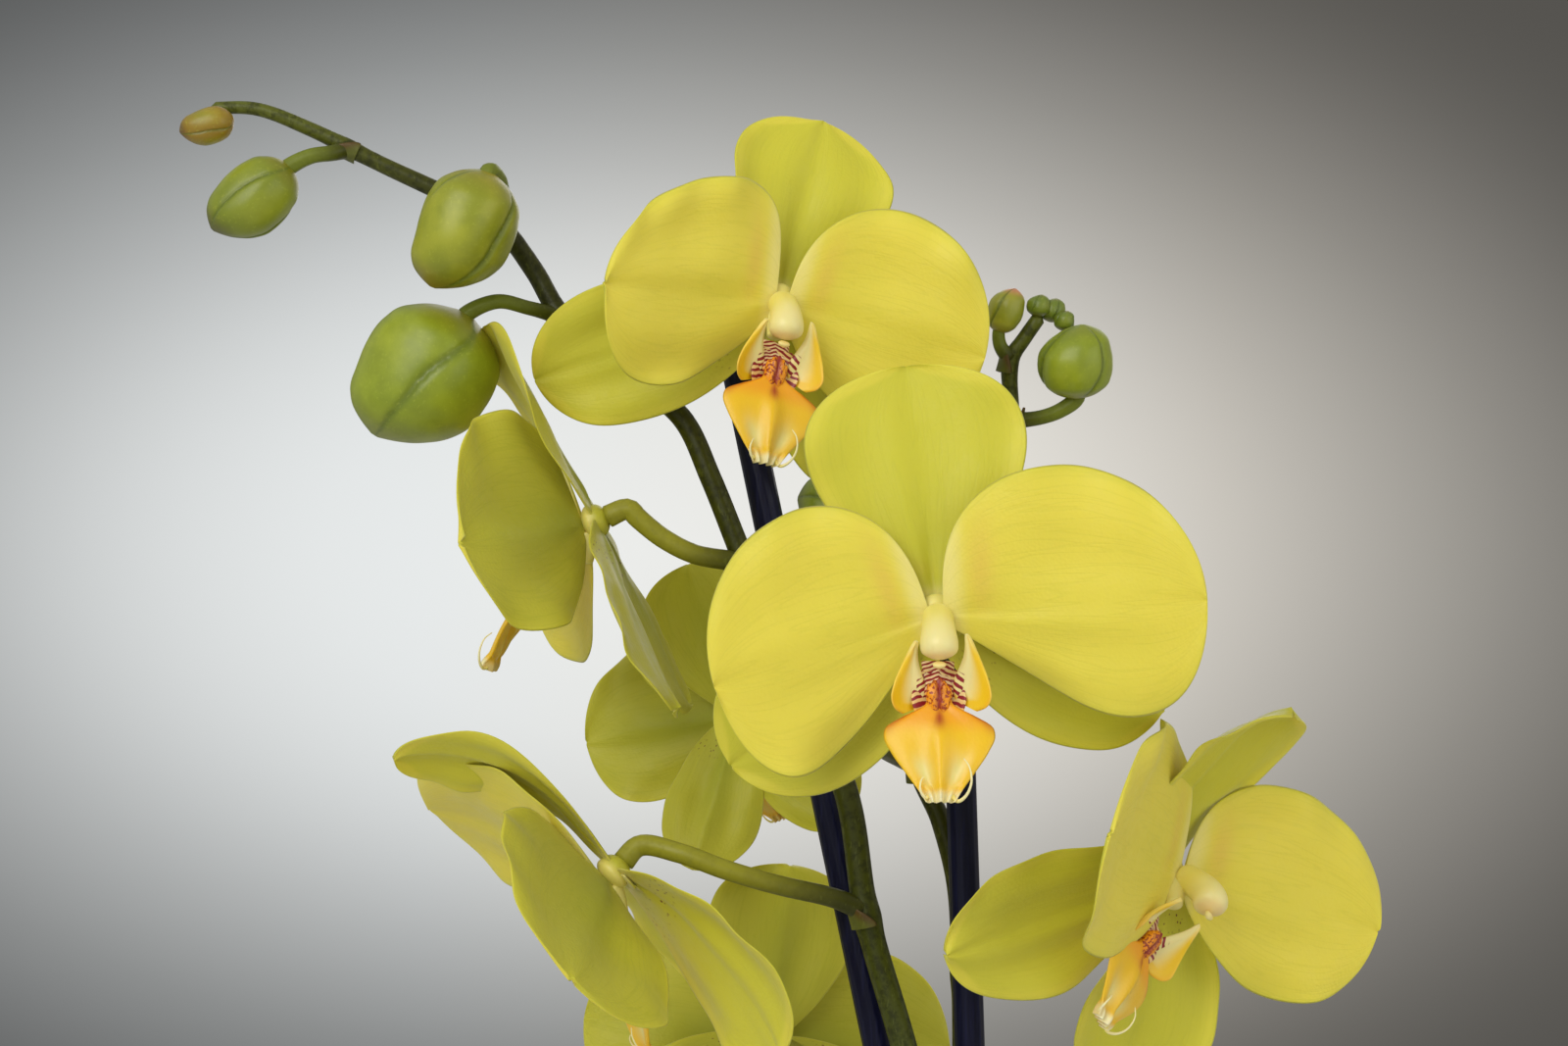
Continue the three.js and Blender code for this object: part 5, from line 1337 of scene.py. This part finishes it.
class ORCHID_OT_stage(PieceOperator, bpy.types.Operator):
    """Make the floor, the soft lamps, the pale surroundings and the camera"""
    bl_idname = "orchid.stage"
    bl_label = "Stage"

    def build(self):
        choice = settings("stage")
        self.floor(choice.floor_radius)
        self.surroundings()
        for name, place, size, power, colour in (
                ("key_lamp", (-0.8, -1.4, 1.3), 1.2, choice.key_power, (1, 0.985, 0.95)),
                ("fill_lamp", (1.4, -1.2, 0.8), 1.3, choice.fill_power, (0.96, 0.98, 1)),
                ("back_lamp", (0.3, 1.5, 1.0), 1.1, choice.fill_power, (1, 1, 1))):
            self.lamp(name, place, size, power, colour)
        camera = bpy.data.objects.new("camera", bpy.data.cameras.new("camera"))
        camera.data.lens = choice.focal_length
        camera.data.sensor_width = 36
        camera.location = (-0.065, -0.7, 0.482)
        camera.rotation_euler = (math.pi / 2, 0, 0)
        bpy.context.scene.collection.objects.link(camera)
        bpy.context.scene.camera = camera
        bpy.context.scene.view_settings.view_transform = "Standard"

    def floor(self, radius):
        """A disc with a turned-down rim, just under the pot."""
        turn = 2 * np.pi * np.arange(128) / 128
        reach = np.concatenate([np.linspace(0.02, 1, 24), [1.0]]) * radius
        height = np.concatenate([np.full(24, -0.0004), [-0.01]])
        rings = np.stack([reach[:, None] * np.cos(turn), reach[:, None] * np.sin(turn), height[:, None] + 0 * turn], -1)
        shell = round_shell(rings)
        mesh = bpy.data.meshes.new("floor")
        mesh.from_pydata(shell["points"].tolist(), [], shell["quads"].tolist() + shell["tris"].tolist())
        mesh.materials.append(finish_of(floor_finish))
        floor = bpy.data.objects.new("floor", mesh)
        bpy.context.scene.collection.objects.link(floor)

    def surroundings(self):
        """Pale grey all round, brightest low and left of the camera's line and darker away from it."""
        world = bpy.data.worlds.new("surroundings")
        bpy.context.scene.world = world
        world.use_nodes = True
        nodes, links = world.node_tree.nodes, world.node_tree.links
        direction = nodes.new("ShaderNodeTexCoord").outputs["Generated"]
        squeezed = nodes.new("ShaderNodeVectorMath")
        squeezed.operation = "MULTIPLY"
        squeezed.inputs[1].default_value = (GLOW_SQUEEZE, 1, 1)
        links.new(direction, squeezed.inputs[0])
        even = nodes.new("ShaderNodeVectorMath")
        even.operation = "NORMALIZE"
        links.new(squeezed.outputs["Vector"], even.inputs[0])
        towards = nodes.new("ShaderNodeVectorMath")
        towards.operation = "DOT_PRODUCT"
        towards.inputs[1].default_value = unit(np.array([GLOW_SQUEEZE * GLOW[0], 1.0, GLOW[1]]))
        links.new(even.outputs["Vector"], towards.inputs[0])
        angle = nodes.new("ShaderNodeMath")
        angle.operation = "ARCCOSINE"
        links.new(towards.outputs["Value"], angle.inputs[0])
        ramp = nodes.new("ShaderNodeValToRGB")
        for place, grey in GLOW_STOPS[2:]:
            ramp.color_ramp.elements.new(place)
        for element, (place, grey) in zip(ramp.color_ramp.elements, GLOW_STOPS):
            element.position = place
            element.color = (grey, grey, grey, 1)
        ramp.color_ramp.interpolation = "B_SPLINE"
        links.new(angle.outputs[0], ramp.inputs["Fac"])
        apart = nodes.new("ShaderNodeSeparateXYZ")
        links.new(direction, apart.inputs[0])
        sideways = nodes.new("ShaderNodeMapRange")
        sideways.inputs["From Min"].default_value = -0.1
        sideways.inputs["From Max"].default_value = 0.12
        links.new(apart.outputs["X"], sideways.inputs["Value"])
        tint = nodes.new("ShaderNodeMix")
        tint.data_type = "RGBA"
        tint.inputs[6].default_value = (0.97, 1.0, 1.0, 1)
        tint.inputs[7].default_value = (1.0, 0.95, 0.86, 1)
        links.new(sideways.outputs["Result"], tint.inputs[0])
        shade = nodes.new("ShaderNodeVectorMath")
        shade.operation = "MULTIPLY"
        links.new(ramp.outputs["Color"], shade.inputs[0])
        links.new(tint.outputs[2], shade.inputs[1])
        links.new(shade.outputs["Vector"], nodes["Background"].inputs["Color"])

    def lamp(self, name, place, size, power, colour):
        lamp = bpy.data.objects.new(name, bpy.data.lights.new(name, "AREA"))
        lamp.data.size = size
        lamp.data.energy = power
        lamp.data.color = colour
        place = np.array(place)
        back = unit(place - np.array([-0.05, 0, 0.4]))
        side = unit(np.cross([0, 0, 1], back))
        axes = np.column_stack([side, np.cross(back, side), back, place])
        lamp.matrix_world = Matrix([*axes.tolist(), [0, 0, 0, 1]])
        bpy.context.scene.collection.objects.link(lamp)


class ORCHID_OT_pot(PieceOperator, bpy.types.Operator):
    """Make the glazed pot"""
    bl_idname = "orchid.pot"
    bl_label = "Pot"

    def build(self):
        put_in_scene("glazed_pot", pot_shell(), finish_of(glaze_finish), "pot_glaze", "pot")


class ORCHID_OT_bark(PieceOperator, bpy.types.Operator):
    """Make the bark bed and its loose chips"""
    bl_idname = "orchid.bark"
    bl_label = "Bark"

    def build(self):
        put_in_scene("bark_bed", bark_bed(), finish_of(bark_finish), "bark_mix", "bark")
        chips = put_in_scene("bark_chips", bark_chips(), finish_of(bark_finish), "bark_mix", "bark")
        chips.data.polygons.foreach_set("use_smooth", np.zeros(len(chips.data.polygons), bool))


class ORCHID_OT_stakes(PieceOperator, bpy.types.Operator):
    """Make the two stakes and the clips that tie the spikes to them"""
    bl_idname = "orchid.stakes"
    bl_label = "Stakes and clips"

    def build(self):
        for name, stake in STAKES.items():
            put_in_scene(f"fluted_stake_{name}", stake_shell(stake), finish_of(stake_finish), "stake_blue_black",
                         f"stake_{name}")
        for name, clip in CLIPS.items():
            put_in_scene(f"moulded_{name}", clip_shell(clip), finish_of(clip_finish), "clip_plastic", name)


class ORCHID_OT_leaves(PieceOperator, bpy.types.Operator):
    """Make the crown, its leaves and the aerial roots"""
    bl_idname = "orchid.leaves"
    bl_label = "Crown, leaves and roots"

    def build(self):
        put_in_scene("sheathed_crown", crown_shell(), finish_of(leaf_finish), "crown_green", "crown")
        for seed, (name, leaf) in enumerate(LEAVES.items()):
            put_in_scene(f"waxy_{name}", leaf_shell(leaf, seed), finish_of(leaf_finish), "leaf_green", name)
        for seed, (name, line) in enumerate(ROOTS.items()):
            put_in_scene(f"aerial_{name}", root_shell(line, seed), finish_of(root_finish), "root_velamen", name)


class ORCHID_OT_spikes(PieceOperator, bpy.types.Operator):
    """Make the two flower spikes with their stalks and bracts"""
    bl_idname = "orchid.spikes"
    bl_label = "Spikes"

    def build(self):
        for name in SPIKES:
            put_in_scene(f"noded_spike_{name}", spike_shell(name), finish_of(stem_finish), "spike_green", f"spike_{name}")


class ORCHID_OT_buds(PieceOperator, bpy.types.Operator):
    """Make the closed buds"""
    bl_idname = "orchid.buds"
    bl_label = "Buds"

    def build(self):
        green = tuple(settings("stem").bud)
        tips = {"bud_1": (linear(150, 118, 24), linear(110, 62, 20)),
                "bud_2": (linear(134, 144, 30), linear(88, 84, 24)),
                "bud_3": (linear(158, 160, 34), linear(140, 120, 30)),
                "bud_6": (linear(170, 166, 50), linear(206, 132, 96))}
        for seed, (name, bud) in enumerate(BUDS.items()):
            low, high = tips.get(name, (green, linear(134, 142, 34)))
            put_in_scene(f"seamed_{name}", bud_shell(bud, seed, low, high), finish_of(bud_finish), "bud_green", name)
        cluster = []
        for seed, (x, y, z, radius) in enumerate(TIP_CLUSTER):
            small = dict(base=(x, y, z - radius), tip=(x + 0.6, y, z + radius), radius=radius)
            cluster.append(bud_shell(small, seed, linear(110, 128, 40), linear(120, 120, 44)))
        put_in_scene("tip_bud_cluster", together(cluster), finish_of(bud_finish), "bud_green", "spike_two")


class ORCHID_OT_tepals(PieceOperator, bpy.types.Operator):
    """Make the petals and sepals of every open flower"""
    bl_idname = "orchid.tepals"
    bl_label = "Petals and sepals"

    def build(self):
        finish = finish_of(petal_finish)
        for number, (name, flower) in enumerate(FLOWERS.items()):
            axes, place = flower_axes(flower)
            for part, (piece, slot) in enumerate((("dorsal_sepal", "sepal_yellow"), ("petal_left", "petal_yellow"),
                                                  ("petal_right", "petal_yellow"))):
                shell = tepal_shell(flower, piece, 5 * number + part)
                put_in_scene(f"{piece}_{name}", moved(shell, axes, place), finish, slot, f"flower_{name}_{piece}")
            pair = [tepal_shell(flower, side, 5 * number + 3 + part)
                    for part, side in enumerate(("lateral_left", "lateral_right"))]
            pair.append(moved(lateral_strap(), np.eye(3), (0, 0, 0), flower["size"]))
            put_in_scene(f"lateral_sepals_{name}", moved(together(pair), axes, place), finish, "sepal_yellow",
                         f"flower_{name}_lateral_sepals")


class ORCHID_OT_lips(PieceOperator, bpy.types.Operator):
    """Make the lip and the column of every open flower"""
    bl_idname = "orchid.lips"
    bl_label = "Lips and columns"

    def build(self):
        lip, column = lip_shell(), column_shell()
        for name, flower in FLOWERS.items():
            axes, place = flower_axes(flower)
            turn = math.radians(-flower.get("lip_turn", 0))
            tilted = np.array([[1, 0, 0], [0, math.cos(turn), -math.sin(turn)], [0, math.sin(turn), math.cos(turn)]])
            put_in_scene(f"lobed_lip_{name}", moved(lip, axes @ tilted, place, flower["size"]), finish_of(lip_finish),
                         "lip_orange", f"flower_{name}_lip")
            put_in_scene(f"column_{name}", moved(column, axes, place, flower["size"]), finish_of(lip_finish),
                         "petal_yellow", f"spike_{FLOWER_STALKS[name]['spike']}")


OPERATORS = (ORCHID_OT_stage, ORCHID_OT_pot, ORCHID_OT_bark, ORCHID_OT_stakes, ORCHID_OT_leaves,
             ORCHID_OT_spikes, ORCHID_OT_buds, ORCHID_OT_tepals, ORCHID_OT_lips)
SETTINGS = {"orchid_flower": OrchidFlowerSettings, "orchid_stem": OrchidStemSettings,
            "orchid_pot": OrchidPotSettings, "orchid_leaf": OrchidLeafSettings,
            "orchid_stage": OrchidStageSettings}


class ORCHID_PT_pieces(bpy.types.Panel):
    """Lists the pieces that can be made and the sizes and colours that they take."""
    bl_label = "Potted orchid"
    bl_idname = "ORCHID_PT_pieces"
    bl_space_type = "VIEW_3D"
    bl_region_type = "UI"
    bl_category = "Orchid"

    def draw(self, context):
        for operator in OPERATORS:
            self.layout.operator(operator.bl_idname)
        for name in SETTINGS:
            box = self.layout.box()
            group = getattr(context.scene, name)
            for key in group.__annotations__:
                box.prop(group, key)


def register():
    for group in SETTINGS.values():
        bpy.utils.register_class(group)
    for name, group in SETTINGS.items():
        setattr(bpy.types.Scene, name, bpy.props.PointerProperty(type=group))
    for kind in (*OPERATORS, ORCHID_PT_pieces):
        bpy.utils.register_class(kind)


def unregister():
    for kind in reversed((*OPERATORS, ORCHID_PT_pieces)):
        bpy.utils.unregister_class(kind)
    for name, group in SETTINGS.items():
        delattr(bpy.types.Scene, name)
        bpy.utils.unregister_class(group)


def main():
    register()
    for operator in OPERATORS:
        area, name = operator.bl_idname.split(".")
        getattr(getattr(bpy.ops, area), name)()


if __name__ == "__main__":
    main()
